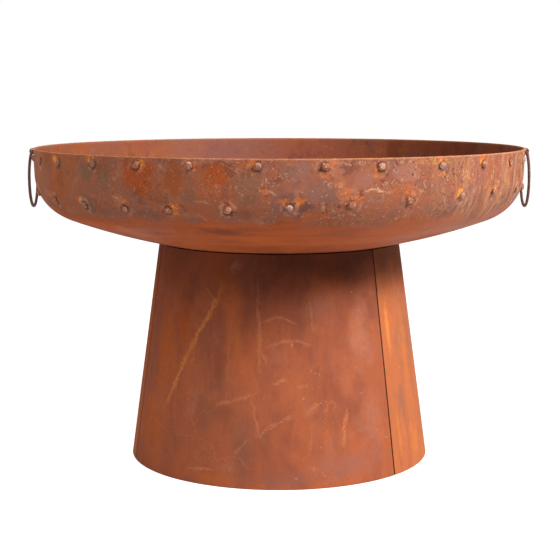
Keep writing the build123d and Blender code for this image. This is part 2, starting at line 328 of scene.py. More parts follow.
class Sheet:
    """A node tree that is being drawn."""

    def __init__(self, tree: bpy.types.NodeTree) -> None:
        """Take the tree to draw in."""
        self.tree = tree

    def put(self, kind: str, feeds: Mapping[str | int, Feed] | None = None,
            **settings: object) -> bpy.types.Node:
        """Add a node.

        Args:
            kind: The node's type.
            feeds: What goes into its inputs, a link or a fixed value, by name or number.
            **settings: The node's own settings.

        Returns:
            The node.
        """
        node = self.tree.nodes.new(kind)
        for name, value in settings.items():
            setattr(node, name, value)
        for key, value in (feeds or {}).items():
            self.feed(node.inputs[key], value)
        return node

    def feed(self, socket: bpy.types.NodeSocket, value: Feed) -> None:
        """Link a socket, or set its fixed value.

        Args:
            socket: The input.
            value: An output to link to it, or the value.
        """
        if isinstance(value, bpy.types.NodeSocket):
            self.tree.links.new(value, socket)
        else:
            socket.default_value = value

    def math(self, operation: str, *values: Feed, clamp: bool = False) -> bpy.types.NodeSocket:
        """The result of a Math node on one or two values."""
        feeds = dict(enumerate(values))
        return self.put("ShaderNodeMath", feeds, operation=operation, use_clamp=clamp).outputs[0]

    def plus(self, first: Feed, second: Feed) -> bpy.types.NodeSocket:
        """The sum of two values."""
        return self.math("ADD", first, second)

    def minus(self, first: Feed, second: Feed) -> bpy.types.NodeSocket:
        """One value less another."""
        return self.math("SUBTRACT", first, second)

    def times(self, first: Feed, second: Feed) -> bpy.types.NodeSocket:
        """The product of two values."""
        return self.math("MULTIPLY", first, second)

    def vector(self, operation: str, first: Feed, second: Feed = (0.0, 0.0, 0.0)) -> bpy.types.NodeSocket:
        """The vector result of a Vector Math node on two vectors."""
        return self.put("ShaderNodeVectorMath", {0: first, 1: second}, operation=operation).outputs[0]

    def scaled(self, vector: Feed, factor: Feed) -> bpy.types.NodeSocket:
        """A vector times a number."""
        return self.put("ShaderNodeVectorMath", {0: vector, "Scale": factor}, operation="SCALE").outputs[0]

    def length(self, vector: Feed) -> bpy.types.NodeSocket:
        """The length of a vector."""
        return self.put("ShaderNodeVectorMath", {0: vector}, operation="LENGTH").outputs["Value"]

    def parts(self, vector: Feed) -> Mapping[str, bpy.types.NodeSocket]:
        """The X, Y and Z of a vector."""
        return self.put("ShaderNodeSeparateXYZ", {0: vector}).outputs

    def ramp(self, value: Feed, low: Feed, high: Feed) -> bpy.types.NodeSocket:
        """A smooth step of a value, from 0 at low to 1 at high."""
        feeds = {"Value": value, "From Min": low, "From Max": high}
        return self.put("ShaderNodeMapRange", feeds, interpolation_type="SMOOTHSTEP").outputs["Result"]

    def fade(self, value: Feed, low: float, high: float, start: float, end: float) -> bpy.types.NodeSocket:
        """A straight change from start to end while a value goes from low to high."""
        feeds = {"Value": value, "From Min": low, "From Max": high, "To Min": start, "To Max": end}
        return self.put("ShaderNodeMapRange", feeds).outputs["Result"]

    def blend(self, mask: Feed, below: Feed, above: Feed) -> bpy.types.NodeSocket:
        """One colour over another, where a mask is 1."""
        return self.put("ShaderNodeMix", {0: mask, 6: below, 7: above}, data_type="RGBA").outputs[2]

    def place(self) -> bpy.types.NodeSocket:
        """The place of a point, as the object's own coordinates."""
        return self.put("ShaderNodeTexCoord").outputs["Object"]

    def attribute(self, name: str) -> bpy.types.NodeSocket:
        """A number that is stored on the mesh."""
        return self.put("ShaderNodeAttribute", attribute_name=name).outputs["Fac"]


class Effects:
    """The node groups that the finishes share.

    Each reads a Vector and gives a mask, a value or another vector.
    """

    def __init__(self) -> None:
        """Draw every group once."""
        self.wrap = self._wrap()
        self.swirl = self._swirl()
        self.clouds = self._clouds()
        self.grains = self._grains()
        self.cracks = self._cracks()
        self.scrape = self._scrape()
        self.patch = self._patch()
        self.seam = self._seam()

    @staticmethod
    def _group(name: str, inputs: Mapping[str, Feed], *outputs: str) -> tuple[Sheet, Mapping, Mapping]:
        """Start a group that reads a Vector.

        Args:
            name: The group's name.
            inputs: Its other inputs with the values that they have by themselves.
            *outputs: Its outputs. One that is called Vector is a vector, the others are numbers.

        Returns:
            The sheet to draw on, the inputs' sockets and the outputs' sockets, by name.
        """
        tree = bpy.data.node_groups.new(name, "ShaderNodeTree")
        for title, value in {"Vector": (0.0, 0.0, 0.0), **inputs}.items():
            kind = "NodeSocketVector" if title == "Vector" else "NodeSocketFloat"
            socket = tree.interface.new_socket(title, in_out="INPUT", socket_type=kind)
            socket.default_value = value
        for title in outputs:
            kind = "NodeSocketVector" if title == "Vector" else "NodeSocketFloat"
            tree.interface.new_socket(title, in_out="OUTPUT", socket_type=kind)
        start = tree.nodes.new("NodeGroupInput").outputs
        end = tree.nodes.new("NodeGroupOutput").inputs
        return Sheet(tree), start, end

    @staticmethod
    def _shifted(sheet: Sheet, start: Mapping) -> bpy.types.NodeSocket:
        """The group's Vector, moved far away by its Seed."""
        return sheet.vector("ADD", start["Vector"], sheet.scaled((17.3, -9.1, 5.7), start["Seed"]))

    @staticmethod
    def _across(sheet: Sheet, start: Mapping) -> bpy.types.NodeSocket:
        """How far round the wall a point lies from the group's Azimuth.

        Args:
            sheet: The group's sheet.
            start: Its inputs.

        Returns:
            The distance in metres at the group's Radius.
        """
        parts = sheet.parts(start["Vector"])
        azimuth = sheet.math("ARCTAN2", parts["X"], sheet.times(parts["Y"], -1.0))
        return sheet.times(sheet.minus(azimuth, start["Azimuth"]), start["Radius"])

    @staticmethod
    def _above(sheet: Sheet, start: Mapping) -> bpy.types.NodeSocket:
        """How far a point lies above the group's Height."""
        return sheet.minus(sheet.parts(start["Vector"])["Z"], start["Height"])

    def _wrap(self) -> bpy.types.NodeTree:
        """Coordinates that run straight down a round wall, for streaks that follow it.

        Returns:
            The group.
        """
        sheet, start, end = self._group("Round the axis", {"Round": 0.3, "Tall": 1.0}, "Vector")
        outward = sheet.vector("NORMALIZE", sheet.vector("MULTIPLY", start["Vector"], (1.0, 1.0, 0.0)))
        height = sheet.times(sheet.parts(start["Vector"])["Z"], start["Tall"])
        up = sheet.put("ShaderNodeCombineXYZ", {"Z": height}).outputs[0]
        sheet.feed(end["Vector"], sheet.vector("ADD", sheet.scaled(outward, start["Round"]), up))
        return sheet.tree

    def _swirl(self) -> bpy.types.NodeTree:
        """Coordinates pushed about by a noise, which tears the edges of what is drawn on them.

        Returns:
            The group.
        """
        sheet, start, end = self._group("Swirl", {"Scale": 14.0, "Amount": 0.03, "Seed": 0.0}, "Vector")
        feeds = {"Vector": self._shifted(sheet, start), "Scale": start["Scale"], "Detail": 4.0,
                 "Roughness": 0.6}
        noise = sheet.put("ShaderNodeTexNoise", feeds).outputs["Color"]
        push = sheet.scaled(sheet.vector("SUBTRACT", noise, (0.5, 0.5, 0.5)), start["Amount"])
        sheet.feed(end["Vector"], sheet.vector("ADD", start["Vector"], push))
        return sheet.tree

    def _clouds(self) -> bpy.types.NodeTree:
        """Soft or ragged clouds, as a mask between two levels and as the plain value.

        Returns:
            The group.
        """
        noise_inputs = {"Scale": 10.0, "Detail": 4.0, "Roughness": 0.55, "Distortion": 0.3}
        inputs = {**noise_inputs, "Low": 0.45, "High": 0.6, "Seed": 0.0}
        sheet, start, end = self._group("Clouds", inputs, "Mask", "Value")
        feeds = {"Vector": self._shifted(sheet, start), **{name: start[name] for name in noise_inputs}}
        noise = sheet.put("ShaderNodeTexNoise", feeds).outputs[0]
        sheet.feed(end["Value"], noise)
        sheet.feed(end["Mask"], sheet.ramp(noise, start["Low"], start["High"]))
        return sheet.tree

    def _grains(self) -> bpy.types.NodeTree:
        """Small separate spots: pits, scale flecks and crumbs of rust.

        Returns:
            The group.
        """
        inputs = {"Scale": 200.0, "Size": 0.35, "Share": 0.3, "Seed": 0.0}
        sheet, start, end = self._group("Grains", inputs, "Mask")
        vector = self._shifted(sheet, start)
        ragged = sheet.put("ShaderNodeTexNoise", {"Vector": vector, "Scale": 900.0, "Detail": 2.0})
        offset = sheet.vector("MULTIPLY", ragged.outputs["Color"], (0.0014, 0.0014, 0.0014))
        feeds = {"Vector": sheet.vector("ADD", vector, offset), "Scale": start["Scale"]}
        cells = sheet.put("ShaderNodeTexVoronoi", feeds).outputs
        spot = sheet.ramp(cells["Distance"], start["Size"], sheet.times(start["Size"], 0.4))
        chance = sheet.put("ShaderNodeSeparateColor", {0: cells["Color"]}).outputs["Red"]
        chosen = sheet.math("LESS_THAN", chance, start["Share"])
        sheet.feed(end["Mask"], sheet.times(spot, chosen))
        return sheet.tree

    def _cracks(self) -> bpy.types.NodeTree:
        """Thin wandering lines, as at the edge of a dried tide mark.

        Returns:
            The group.
        """
        inputs = {"Scale": 12.0, "Distortion": 0.4, "Width": 0.01, "Seed": 0.0}
        sheet, start, end = self._group("Tide lines", inputs, "Mask")
        feeds = {"Vector": self._shifted(sheet, start), "Scale": start["Scale"], "Detail": 3.0,
                 "Roughness": 0.5, "Distortion": start["Distortion"]}
        noise = sheet.put("ShaderNodeTexNoise", feeds).outputs[0]
        offset = sheet.math("ABSOLUTE", sheet.minus(noise, 0.5))
        sheet.feed(end["Mask"], sheet.ramp(offset, start["Width"], 0.0))
        return sheet.tree

    def _scrape(self) -> bpy.types.NodeTree:
        """One long scrape at a chosen place of a round wall.

        Returns:
            The group.
        """
        inputs = {"Azimuth": 0.0, "Radius": 0.22, "Height": 0.2, "Slope": 1.0, "Half Length": 0.05,
                  "Half Width": 0.0012, "Bend": 0.0, "Wander": 0.5, "Pressure": 0.5, "Speckle": 0.5}
        sheet, start, end = self._group("Scrape", inputs, "Mask")
        across, up = self._across(sheet, start), self._above(sheet, start)
        cosine, sine = sheet.math("COSINE", start["Slope"]), sheet.math("SINE", start["Slope"])
        along = sheet.plus(sheet.times(across, cosine), sheet.times(up, sine))
        aside = sheet.minus(sheet.times(up, cosine), sheet.times(across, sine))
        bow = sheet.times(sheet.times(along, along), start["Bend"])
        wander = sheet.fade(start["Wander"], 0.0, 1.0, -0.007, 0.007)
        line = sheet.math("ABSOLUTE", sheet.minus(sheet.minus(aside, bow), wander))
        pressed = sheet.fade(start["Pressure"], 0.35, 0.62, 0.4, 1.2)
        thin = sheet.ramp(line, sheet.times(start["Half Width"], pressed), 0.0)
        full_until = sheet.times(start["Half Length"], 0.45)
        length = sheet.ramp(sheet.math("ABSOLUTE", along), start["Half Length"], full_until)
        broken = sheet.fade(start["Speckle"], 0.38, 0.58, 0.35, 1.0)
        sheet.feed(end["Mask"], sheet.times(sheet.times(thin, length), broken))
        return sheet.tree

    def _patch(self) -> bpy.types.NodeTree:
        """One ragged blotch at a chosen place of a round wall.

        Returns:
            The group.
        """
        inputs = {"Azimuth": 0.0, "Radius": 0.4, "Height": 0.45, "Half Width": 0.03, "Half Height": 0.03,
                  "Ragged": 2.2, "Soft": 0.5, "Broken": 0.0, "Tear": 0.5, "Crumbs": 0.5}
        sheet, start, end = self._group("Blotch", inputs, "Mask")
        wide = sheet.math("DIVIDE", self._across(sheet, start), start["Half Width"])
        tall = sheet.math("DIVIDE", self._above(sheet, start), start["Half Height"])
        squares = sheet.plus(sheet.times(wide, wide), sheet.times(tall, tall))
        torn = sheet.times(sheet.minus(start["Tear"], 0.5), start["Ragged"])
        distance = sheet.plus(sheet.math("SQRT", squares), torn)
        whole = sheet.ramp(distance, 1.05, sheet.minus(1.0, start["Soft"]))
        gaps = sheet.times(sheet.ramp(start["Crumbs"], 0.58, 0.46), start["Broken"])
        sheet.feed(end["Mask"], sheet.times(whole, sheet.minus(1.0, gaps)))
        return sheet.tree

    def _seam(self) -> bpy.types.NodeTree:
        """Painted shade in the groove of a seam that runs straight down a round wall.

        Returns:
            The group.
        """
        inputs = {"Azimuth": 0.0, "Radius": 0.22, "Half Width": 0.002}
        sheet, start, end = self._group("Seam", inputs, "Mask")
        away = sheet.math("ABSOLUTE", self._across(sheet, start))
        full_until = sheet.times(start["Half Width"], 0.4)
        sheet.feed(end["Mask"], sheet.ramp(away, start["Half Width"], full_until))
        return sheet.tree


@dataclass(frozen=True)
class Mark:
    """A scrape on a round wall: azimuth in degrees, lengths in metres, slope in degrees from level.

    With a bend, the line leaves the straight by the bend times the square of the distance along it.
    """

    azimuth: float
    height: float
    slope: float
    half_length: float
    half_width: float = 0.0045
    bend: float = 0.0
    colour: str = "c47c54"
    strength: float = 0.5


@dataclass(frozen=True)
class Blotch:
    """A ragged spot of colour on a round wall: azimuth in degrees, lengths in metres.

    Soft is the share of it over which it fades out, ragged is how deep its edge is torn, and broken is how
    much of it has crumbled away.
    """

    azimuth: float
    height: float
    half_width: float
    half_height: float
    colour: str
    strength: float = 0.7
    soft: float = 0.5
    ragged: float = 2.2
    broken: float = 0.0


class Coat:
    """A rust finish that is laid on coat by coat: colour, roughness and relief."""

    def __init__(self, name: str, effects: Effects, ground: str, specular: float = 0.2) -> None:
        """Start a material with its ground colour.

        Args:
            name: The material's name.
            effects: The shared node groups.
            ground: The colour under everything, as hex digits.
            specular: How strongly it shines at all.
        """
        self.material = bpy.data.materials.new(name)
        self.material.use_nodes = True
        self.sheet = Sheet(self.material.node_tree)
        self.effects = effects
        self.shader = self.material.node_tree.nodes["Principled BSDF"]
        self.shader.inputs["Specular IOR Level"].default_value = specular
        self.spot = self.sheet.place()
        self.colour: Feed = tint(ground)
        self.roughness: Feed = 0.8
        self.relief: Feed = 0.0

    def group(self, tree: bpy.types.NodeTree, output: str = "Mask", **values: Feed) -> bpy.types.NodeSocket:
        """The output of a shared effect at this material's own values.

        Args:
            tree: The effect.
            output: Which of its outputs.
            **values: Its inputs by name, with _ for a space and a capital put back.

        Returns:
            The output's socket.
        """
        feeds = {name.replace("_", " ").title(): value for name, value in values.items()}
        feeds.setdefault("Vector", self.spot)
        return self.sheet.put("ShaderNodeGroup", feeds, node_tree=tree).outputs[output]

    def torn(self, scale: float, amount: float, seed: float = 0.0) -> bpy.types.NodeSocket:
        """The place of a point, pushed about by noise."""
        return self.group(self.effects.swirl, "Vector", scale=scale, amount=amount, seed=seed)

    def wrapped(self, radius: float, tall: float, **values: Feed) -> bpy.types.NodeSocket:
        """Coordinates that follow a round wall, with its height drawn in or out."""
        return self.group(self.effects.wrap, "Vector", round=radius, tall=tall, **values)

    def clouds(self, scale: float, low: float, high: float, **values: Feed) -> bpy.types.NodeSocket:
        """A mask of clouds of a scale, from nothing at a low value of the noise to all at a high one."""
        return self.group(self.effects.clouds, scale=scale, low=low, high=high, **values)

    def noise(self, scale: float, seed: float, **values: Feed) -> bpy.types.NodeSocket:
        """The plain value of the cloud noise."""
        return self.group(self.effects.clouds, "Value", scale=scale, seed=seed, **values)

    def grains(self, scale: float, size: float, share: float, seed: float) -> bpy.types.NodeSocket:
        """A mask of separate grains, of which a share is there."""
        return self.group(self.effects.grains, scale=scale, size=size, share=share, seed=seed)

    def tide_lines(self, scale: float, distortion: float, width: float,
                   **values: Feed) -> bpy.types.NodeSocket:
        """A mask of thin wandering lines."""
        return self.group(self.effects.cracks, scale=scale, distortion=distortion, width=width, **values)

    def both(self, *masks: Feed) -> bpy.types.NodeSocket:
        """Where all the masks are.

        Args:
            *masks: The masks, two or more.

        Returns:
            Their product.
        """
        product = masks[0]
        for mask in masks[1:]:
            product = self.sheet.times(product, mask)
        return product

    def height(self) -> bpy.types.NodeSocket:
        """The height of a point."""
        return self.sheet.parts(self.spot)["Z"]

    def to_the_right(self, start: float, end: float, low: float = 0.0) -> bpy.types.NodeSocket:
        """A share that goes from low to 1 between two distances to the right of the middle."""
        return self.sheet.fade(self.sheet.parts(self.spot)["X"], start, end, low, 1.0)

    def shaken(self, value: Feed, noise: Feed, amount: float) -> bpy.types.NodeSocket:
        """A value that a noise moves up and down by shares of an amount."""
        shift = self.sheet.times(self.sheet.minus(noise, 0.5), amount)
        return self.sheet.plus(value, shift)

    def over(self, mask: Feed, colour: str, strength: float = 1.0) -> None:
        """Lay a colour over what is there.

        Args:
            mask: Where it goes.
            colour: The colour as hex digits.
            strength: How much of it covers.
        """
        share = self.sheet.math("MULTIPLY", mask, strength, clamp=True)
        self.colour = self.sheet.blend(share, self.colour, tint(colour))

    def cloud_over(self, scale: float, low: float, high: float, colour: str, strength: float,
                   where: Feed | None = None, **values: Feed) -> bpy.types.NodeSocket:
        """Lay clouds of a colour over what is there.

        Args:
            scale: The clouds' scale.
            low: The value of the noise up to which there is none.
            high: The value from which there is most.
            colour: The colour as hex digits.
            strength: How much of it covers.
            where: A mask that they keep to.
            **values: Other inputs of the clouds.

        Returns:
            Where the clouds are.
        """
        mask = self.clouds(scale, low, high, **values)
        if where is not None:
            mask = self.both(mask, where)
        self.over(mask, colour, strength)
        return mask

    def blotch_all(self, blotches: Sequence[Blotch], radius: float, seed: float) -> None:
        """Lay blotches on a round wall, all torn by the same noise.

        Args:
            blotches: The blotches, from the lowest one up.
            radius: The wall's.
            seed: The noise's.
        """
        tear = self.noise(46.0, seed, detail=8.0, roughness=0.62)
        crumbs = self.noise(230.0, seed, detail=6.0, roughness=0.7)
        for spot in blotches:
            mask = self.group(self.effects.patch, azimuth=math.radians(spot.azimuth), radius=radius,
                              height=spot.height, half_width=spot.half_width,
                              half_height=spot.half_height, soft=spot.soft, ragged=spot.ragged,
                              broken=spot.broken, tear=tear, crumbs=crumbs)
            self.over(mask, spot.colour, spot.strength)

    def scrape_all(self, marks: Sequence[Mark], radius: float, seed: float) -> None:
        """Lay scrapes on a round wall, all shaken by the same noises.

        Args:
            marks: The scrapes.
            radius: The wall's.
            seed: The noises'.
        """
        wander = self.noise(60.0, seed, detail=6.0, roughness=0.65)
        pressure = self.noise(75.0, seed + 1, detail=3.0)
        speckle = self.noise(240.0, seed + 2, detail=3.0)
        for mark in marks:
            mask = self.group(self.effects.scrape, azimuth=math.radians(mark.azimuth), radius=radius,
                              height=mark.height, slope=math.radians(mark.slope),
                              half_length=mark.half_length, half_width=mark.half_width, bend=mark.bend,
                              wander=wander, pressure=pressure, speckle=speckle)
            self.over(mask, mark.colour, mark.strength)
            self.raise_by(mask, SCRAPE_RELIEF)

    def dull(self, mask: Feed, roughness: float, strength: float = 1.0) -> None:
        """Give a place another roughness.

        Args:
            mask: Where it goes.
            roughness: The roughness there.
            strength: How far it goes towards it.
        """
        share = self.sheet.math("MULTIPLY", mask, strength, clamp=True)
        feeds = {0: share, 2: self.roughness, 3: roughness}
        self.roughness = self.sheet.put("ShaderNodeMix", feeds, data_type="FLOAT").outputs[0]

    def raise_by(self, mask: Feed, height: float) -> None:
        """Raise a place by a height in metres, or sink it by a negative one."""
        self.relief = self.sheet.plus(self.relief, self.sheet.times(mask, height))

    def finish(self) -> bpy.types.Material:
        """Feed what has been laid to the shader.

        Returns:
            The material.
        """
        bump = self.sheet.put("ShaderNodeBump", {"Height": self.relief, "Distance": 1.0, "Strength": 1.0})
        self.sheet.feed(self.shader.inputs["Base Color"], self.colour)
        self.sheet.feed(self.shader.inputs["Roughness"], self.roughness)
        self.sheet.feed(self.shader.inputs["Normal"], bump.outputs["Normal"])
        return self.material


# ------------------------------------------------------------------ finishes


@dataclass(frozen=True)
class PanelRust:
    """Even weathered rust with soft upright clouds and drips, as on the base panels.

    The darker tone under the bowl is painted shadow of the bowl, partly patina, which comes in between two
    heights. The seams are azimuths in degrees, and painted shade darkens their grooves.
    """

    name: str
    ground: str = "a2583a"
    shade: str = "7d4535"
    glow: str = "b96034"
    dust: str = "b0735a"
    tide: str = "c98a64"
    crumb: str = "cf9878"
    pore: str = "55302a"
    # painted shade in the seams' grooves
    painted_seam_shade: str = "22100b"
    shade_strength: float = 0.6
    glow_strength: float = 0.5
    runs: float = 0.25
    # painted shadow of the bowl, partly patina: its colour, strength and the heights where it comes in
    patina_and_bowl_shadow: str = "2a0d05"
    patina_and_shadow_strength: float = 0.78
    patina_and_shadow_foot: float = 0.27
    patina_and_shadow_top: float = 0.345
    seams: tuple[float, ...] = (-72.5, 47.5, 167.5)
    seam_shade_width: float = 0.0019
    marks: tuple[Mark, ...] = ()
    blotches: tuple[Blotch, ...] = ()
    radius: float = 0.22
    specular: float = 0.08
    seed: float = 0.0

    def build(self, effects: Effects) -> bpy.types.Material:
        """Draw the material.

        Args:
            effects: The shared node groups.

        Returns:
            The material.
        """
        coat = Coat(self.name, effects, self.ground, self.specular)
        seed = self.seed
        torn = coat.torn(11.0, 0.05, seed)
        upright = coat.wrapped(self.radius, 0.5, vector=torn)
        steep = coat.wrapped(self.radius, 0.1, vector=torn)

        # soft clouds, and runs down the sheet
        shade = coat.cloud_over(11.0, 0.46, 0.62, self.shade, self.shade_strength, vector=upright,
                                detail=6.0, seed=seed + 1)
        coat.cloud_over(9.0, 0.5, 0.66, self.glow, self.glow_strength, vector=upright, detail=6.0,
                        seed=seed + 2)
        coat.cloud_over(21.0, 0.52, 0.7, self.dust, 0.25, vector=torn, detail=8.0, seed=seed + 3)
        coat.cloud_over(48.0, 0.53, 0.7, self.shade, 0.25, detail=6.0, seed=seed + 9)
        coat.cloud_over(60.0, 0.52, 0.7, self.glow, self.runs, vector=steep, detail=4.0, seed=seed + 4)
        coat.cloud_over(85.0, 0.54, 0.7, self.shade, self.runs, vector=steep, detail=4.0, seed=seed + 5)
        coat.blotch_all(self.blotches, self.radius, seed)

        # tide lines where drops dried, and the scrapes
        few = coat.clouds(6.0, 0.5, 0.62, detail=1.0, seed=seed + 6)
        drops = coat.wrapped(self.radius, 0.6, vector=torn)
        lines = coat.tide_lines(11.0, 0.6, 0.008, vector=drops, seed=seed + 7)
        coat.over(coat.both(lines, few), self.tide, 0.2)
        coat.scrape_all(self.marks, self.radius, seed)

        # crumbs in dusty places, pores and fine grain
        dusty = coat.clouds(12.0, 0.48, 0.62, detail=4.0, seed=seed + 11)
        coat.cloud_over(150.0, 0.64, 0.69, self.crumb, 0.55, where=dusty, detail=4.0, roughness=0.6,
                        seed=seed + 10)
        pores = coat.grains(210.0, 0.22, 0.12, seed + 1)
        coat.over(pores, self.pore, 0.4)
        fine = coat.noise(420.0, seed, detail=5.0)
        coat.over(coat.sheet.ramp(fine, 0.42, 0.62), self.shade, 0.14)

        # painted shadow of the bowl on the panels' tops, partly patina; painted shade in the seams' grooves
        level = coat.shaken(coat.height(), coat.noise(12.0, seed + 12, detail=6.0), 0.08)
        patina_and_shadow_mask = coat.both(coat.sheet.ramp(level, self.patina_and_shadow_foot, self.patina_and_shadow_top),
                              coat.to_the_right(-0.11, 0.0, 0.5))
        coat.over(patina_and_shadow_mask, self.patina_and_bowl_shadow, self.patina_and_shadow_strength)
        # painted shade darkens each seam's groove
        for seam in self.seams:
            painted_seam_shade = coat.group(effects.seam, azimuth=math.radians(seam), radius=self.radius,
                              half_width=self.seam_shade_width)
            coat.over(painted_seam_shade, self.painted_seam_shade, 0.9)

        coat.raise_by(fine, 0.0002)
        coat.raise_by(coat.noise(60.0, seed + 8, detail=3.0), 0.0005)
        coat.raise_by(pores, -0.00018)
        coat.dull(shade, 0.66, 0.8)
        return coat.finish()


@dataclass(frozen=True)
class CrustedRust:
    """The bowl's outside: a mottled wall with scaly crust and stained rivets, and a smoother dish.

    The wall's colours come first, then the dish's, the crust, the rivets' traces and a painted rim
    highlight.
    """

    name: str = "bowl_outside_rust"
    ground: str = "98573c"
    slate: str = "7b5145"
    orange: str = "a4532c"
    umber: str = "66392b"
    clay: str = "a86a50"
    left_orange: str = "a9551c"
    dish: str = "aa4f1e"
    dish_streak: str = "7f3f26"
    dish_glow: str = "c0642c"
    dish_right: str = "a8664a"
    fleck: str = "c6937a"
    pit: str = "4a261b"
    scale_edge: str = "d4a182"
    speck: str = "d6a88e"
    ochre: str = "d08a44"
    washed: str = "96604e"
    run: str = "c08358"
    dark_run: str = "744a40"
    run_edge: str = "e2a868"
    stain: str = "c46428"
    stain_heart: str = "e29a44"
    collar: str = "c08e78"
    collar_pit: str = "55302a"
    # painted shadow at the rivets' feet, partly crevice rust
    foot_rust_and_shadow: str = "42211a"
    grain: str = "6b3f31"
    # painted highlight along the rim's edge
    rim: str = "d2926c"
    radius: float = 0.4
    dish_from: float = 0.426
    dish_until: float = 0.409
    rim_highlight_from: float = 0.5075
    rim_highlight_until: float = 0.509
    wall_blotches: tuple[Blotch, ...] = ()
    wall_marks: tuple[Mark, ...] = ()
    dish_blotches: tuple[Blotch, ...] = ()

    def build(self, effects: Effects) -> bpy.types.Material:
        """Draw the material.

        Args:
            effects: The shared node groups.

        Returns:
            The material.
        """
        coat = Coat(self.name, effects, self.ground)
        self._mottle(coat)
        dish = self._dish(coat)
        wall = coat.sheet.minus(1.0, dish)
        self._crust(coat, wall)
        self._runs(coat, wall)
        self._rivet_traces(coat)
        fine = coat.noise(380.0, 13.0, detail=6.0, roughness=0.6)
        coat.over(coat.sheet.ramp(fine, 0.44, 0.64), self.grain, 0.25)
        # painted highlight: a paler band just under the rim, stronger to the right
        edge = coat.sheet.ramp(coat.height(), self.rim_highlight_from, self.rim_highlight_until)
        coat.over(coat.both(edge, coat.to_the_right(-0.2, 0.1, 0.1)), self.rim, 0.5)
        coat.raise_by(fine, 0.00025)
        coat.raise_by(coat.noise(40.0, 14.0, detail=4.0), 0.0009)
        return coat.finish()

    def _mottle(self, coat: Coat) -> None:
        """Ragged fields of slate, orange and brown, more orange at the left, then blotches and wisps.

        Args:
            coat: The finish that is being laid.
        """
        torn = coat.torn(18.0, 0.045)
        smooth_edged = {"vector": torn, "detail": 8.0, "roughness": 0.6}
        rough_edged = {"vector": torn, "detail": 8.0, "roughness": 0.65}
        slate = coat.cloud_over(8.0, 0.46, 0.55, self.slate, 0.85, seed=1.0, **smooth_edged)
        coat.cloud_over(9.0, 0.53, 0.59, self.orange, 0.5, seed=2.0, **smooth_edged)
        coat.cloud_over(17.0, 0.54, 0.62, self.umber, 0.6, seed=3.0, **rough_edged)
        coat.cloud_over(24.0, 0.56, 0.62, self.clay, 0.6, seed=4.0, **rough_edged)
        coat.over(coat.to_the_right(-0.12, -0.38), self.left_orange, 0.55)
        coat.blotch_all(self.wall_blotches, self.radius, 5.0)
        coat.scrape_all(self.wall_marks, self.radius, 8.0)
        coat.dull(slate, 0.6, 0.8)

    def _dish(self, coat: Coat) -> bpy.types.NodeSocket:
        """The dish below the lower row is smoother and more orange, with level streaks.

        Args:
            coat: The finish that is being laid.

        Returns:
            The dish's mask.
        """
        level = coat.shaken(coat.height(), coat.noise(13.0, 5.0, detail=6.0), 0.06)
        dish = coat.sheet.ramp(level, self.dish_from, self.dish_until)
        coat.over(dish, self.dish, 0.88)
        flat = coat.wrapped(self.radius * 0.3, 3.0)
        coat.cloud_over(22.0, 0.44, 0.62, self.dish_streak, 0.55, where=dish, vector=flat, detail=6.0,
                        seed=6.0)
        coat.cloud_over(11.0, 0.48, 0.66, self.dish_glow, 0.5, where=dish, vector=flat, detail=5.0,
                        seed=7.0)
        coat.over(coat.both(dish, coat.to_the_right(0.02, 0.3)), self.dish_right, 0.6)
        coat.blotch_all(self.dish_blotches, self.radius, 6.0)
        return dish

    def _crust(self, coat: Coat, wall: Feed) -> None:
        """Flecks, pits and the edges of scale, thicker towards the right, and ochre at the right.

        Args:
            coat: The finish that is being laid.
            wall: Where the side wall is.
        """
        torn = coat.torn(60.0, 0.012, 3.0)
        crusted = coat.both(coat.clouds(12.0, 0.42, 0.56, detail=6.0, seed=8.0), wall,
                            coat.to_the_right(-0.3, 0.2, 0.18))
        flecks = coat.cloud_over(150.0, 0.55, 0.6, self.fleck, 0.75, where=crusted, vector=torn, detail=7.0,
                                 roughness=0.72, seed=15.0)
        pits = coat.cloud_over(170.0, 0.6, 0.64, self.pit, 0.85, where=crusted, vector=torn, detail=6.0,
                               roughness=0.7, seed=16.0)
        lines = coat.tide_lines(42.0, 1.0, 0.011, vector=torn, seed=11.0)
        lines = coat.both(lines, crusted, coat.clouds(60.0, 0.46, 0.56, detail=4.0, seed=19.0))
        coat.over(lines, self.scale_edge, 0.8)
        specks = coat.both(coat.grains(220.0, 0.34, 0.14, 2.0), wall, coat.to_the_right(-0.25, 0.1, 0.08))
        coat.over(specks, self.speck, 0.6)
        ochre_field = coat.both(coat.clouds(15.0, 0.48, 0.6, detail=5.0, seed=9.0), wall,
                                coat.to_the_right(0.0, 0.3, 0.1))
        ochre = coat.cloud_over(150.0, 0.54, 0.6, self.ochre, 0.7, where=ochre_field, vector=torn,
                                detail=6.0, roughness=0.75, seed=17.0)
        reliefs = ((flecks, 0.0004), (specks, 0.0003), (pits, -0.0006), (lines, 0.00015), (ochre, 0.0003))
        for mask, height in reliefs:
            coat.raise_by(mask, height)
        coat.dull(crusted, 0.9, 0.8)

    def _runs(self, coat: Coat, wall: Feed) -> None:
        """Pale and dark runs down from the rim at the right, with tide lines at their edges.

        Args:
            coat: The finish that is being laid.
            wall: Where the side wall is.
        """
        steep = coat.wrapped(self.radius, 0.14, vector=coat.torn(60.0, 0.012, 3.0))
        where = coat.both(coat.to_the_right(0.19, 0.3), wall)
        coat.over(where, self.washed, 0.3)
        torn_runs = {"where": where, "vector": steep, "detail": 6.0, "roughness": 0.65}
        coat.cloud_over(95.0, 0.5, 0.58, self.run, 0.6, seed=10.0, **torn_runs)
        coat.cloud_over(70.0, 0.54, 0.62, self.dark_run, 0.7, seed=20.0, **torn_runs)
        edges = coat.tide_lines(65.0, 0.6, 0.012, vector=steep, seed=18.0)
        edges = coat.both(edges, where, coat.clouds(90.0, 0.42, 0.55, detail=4.0, seed=21.0))
        coat.over(edges, self.run_edge, 0.85)

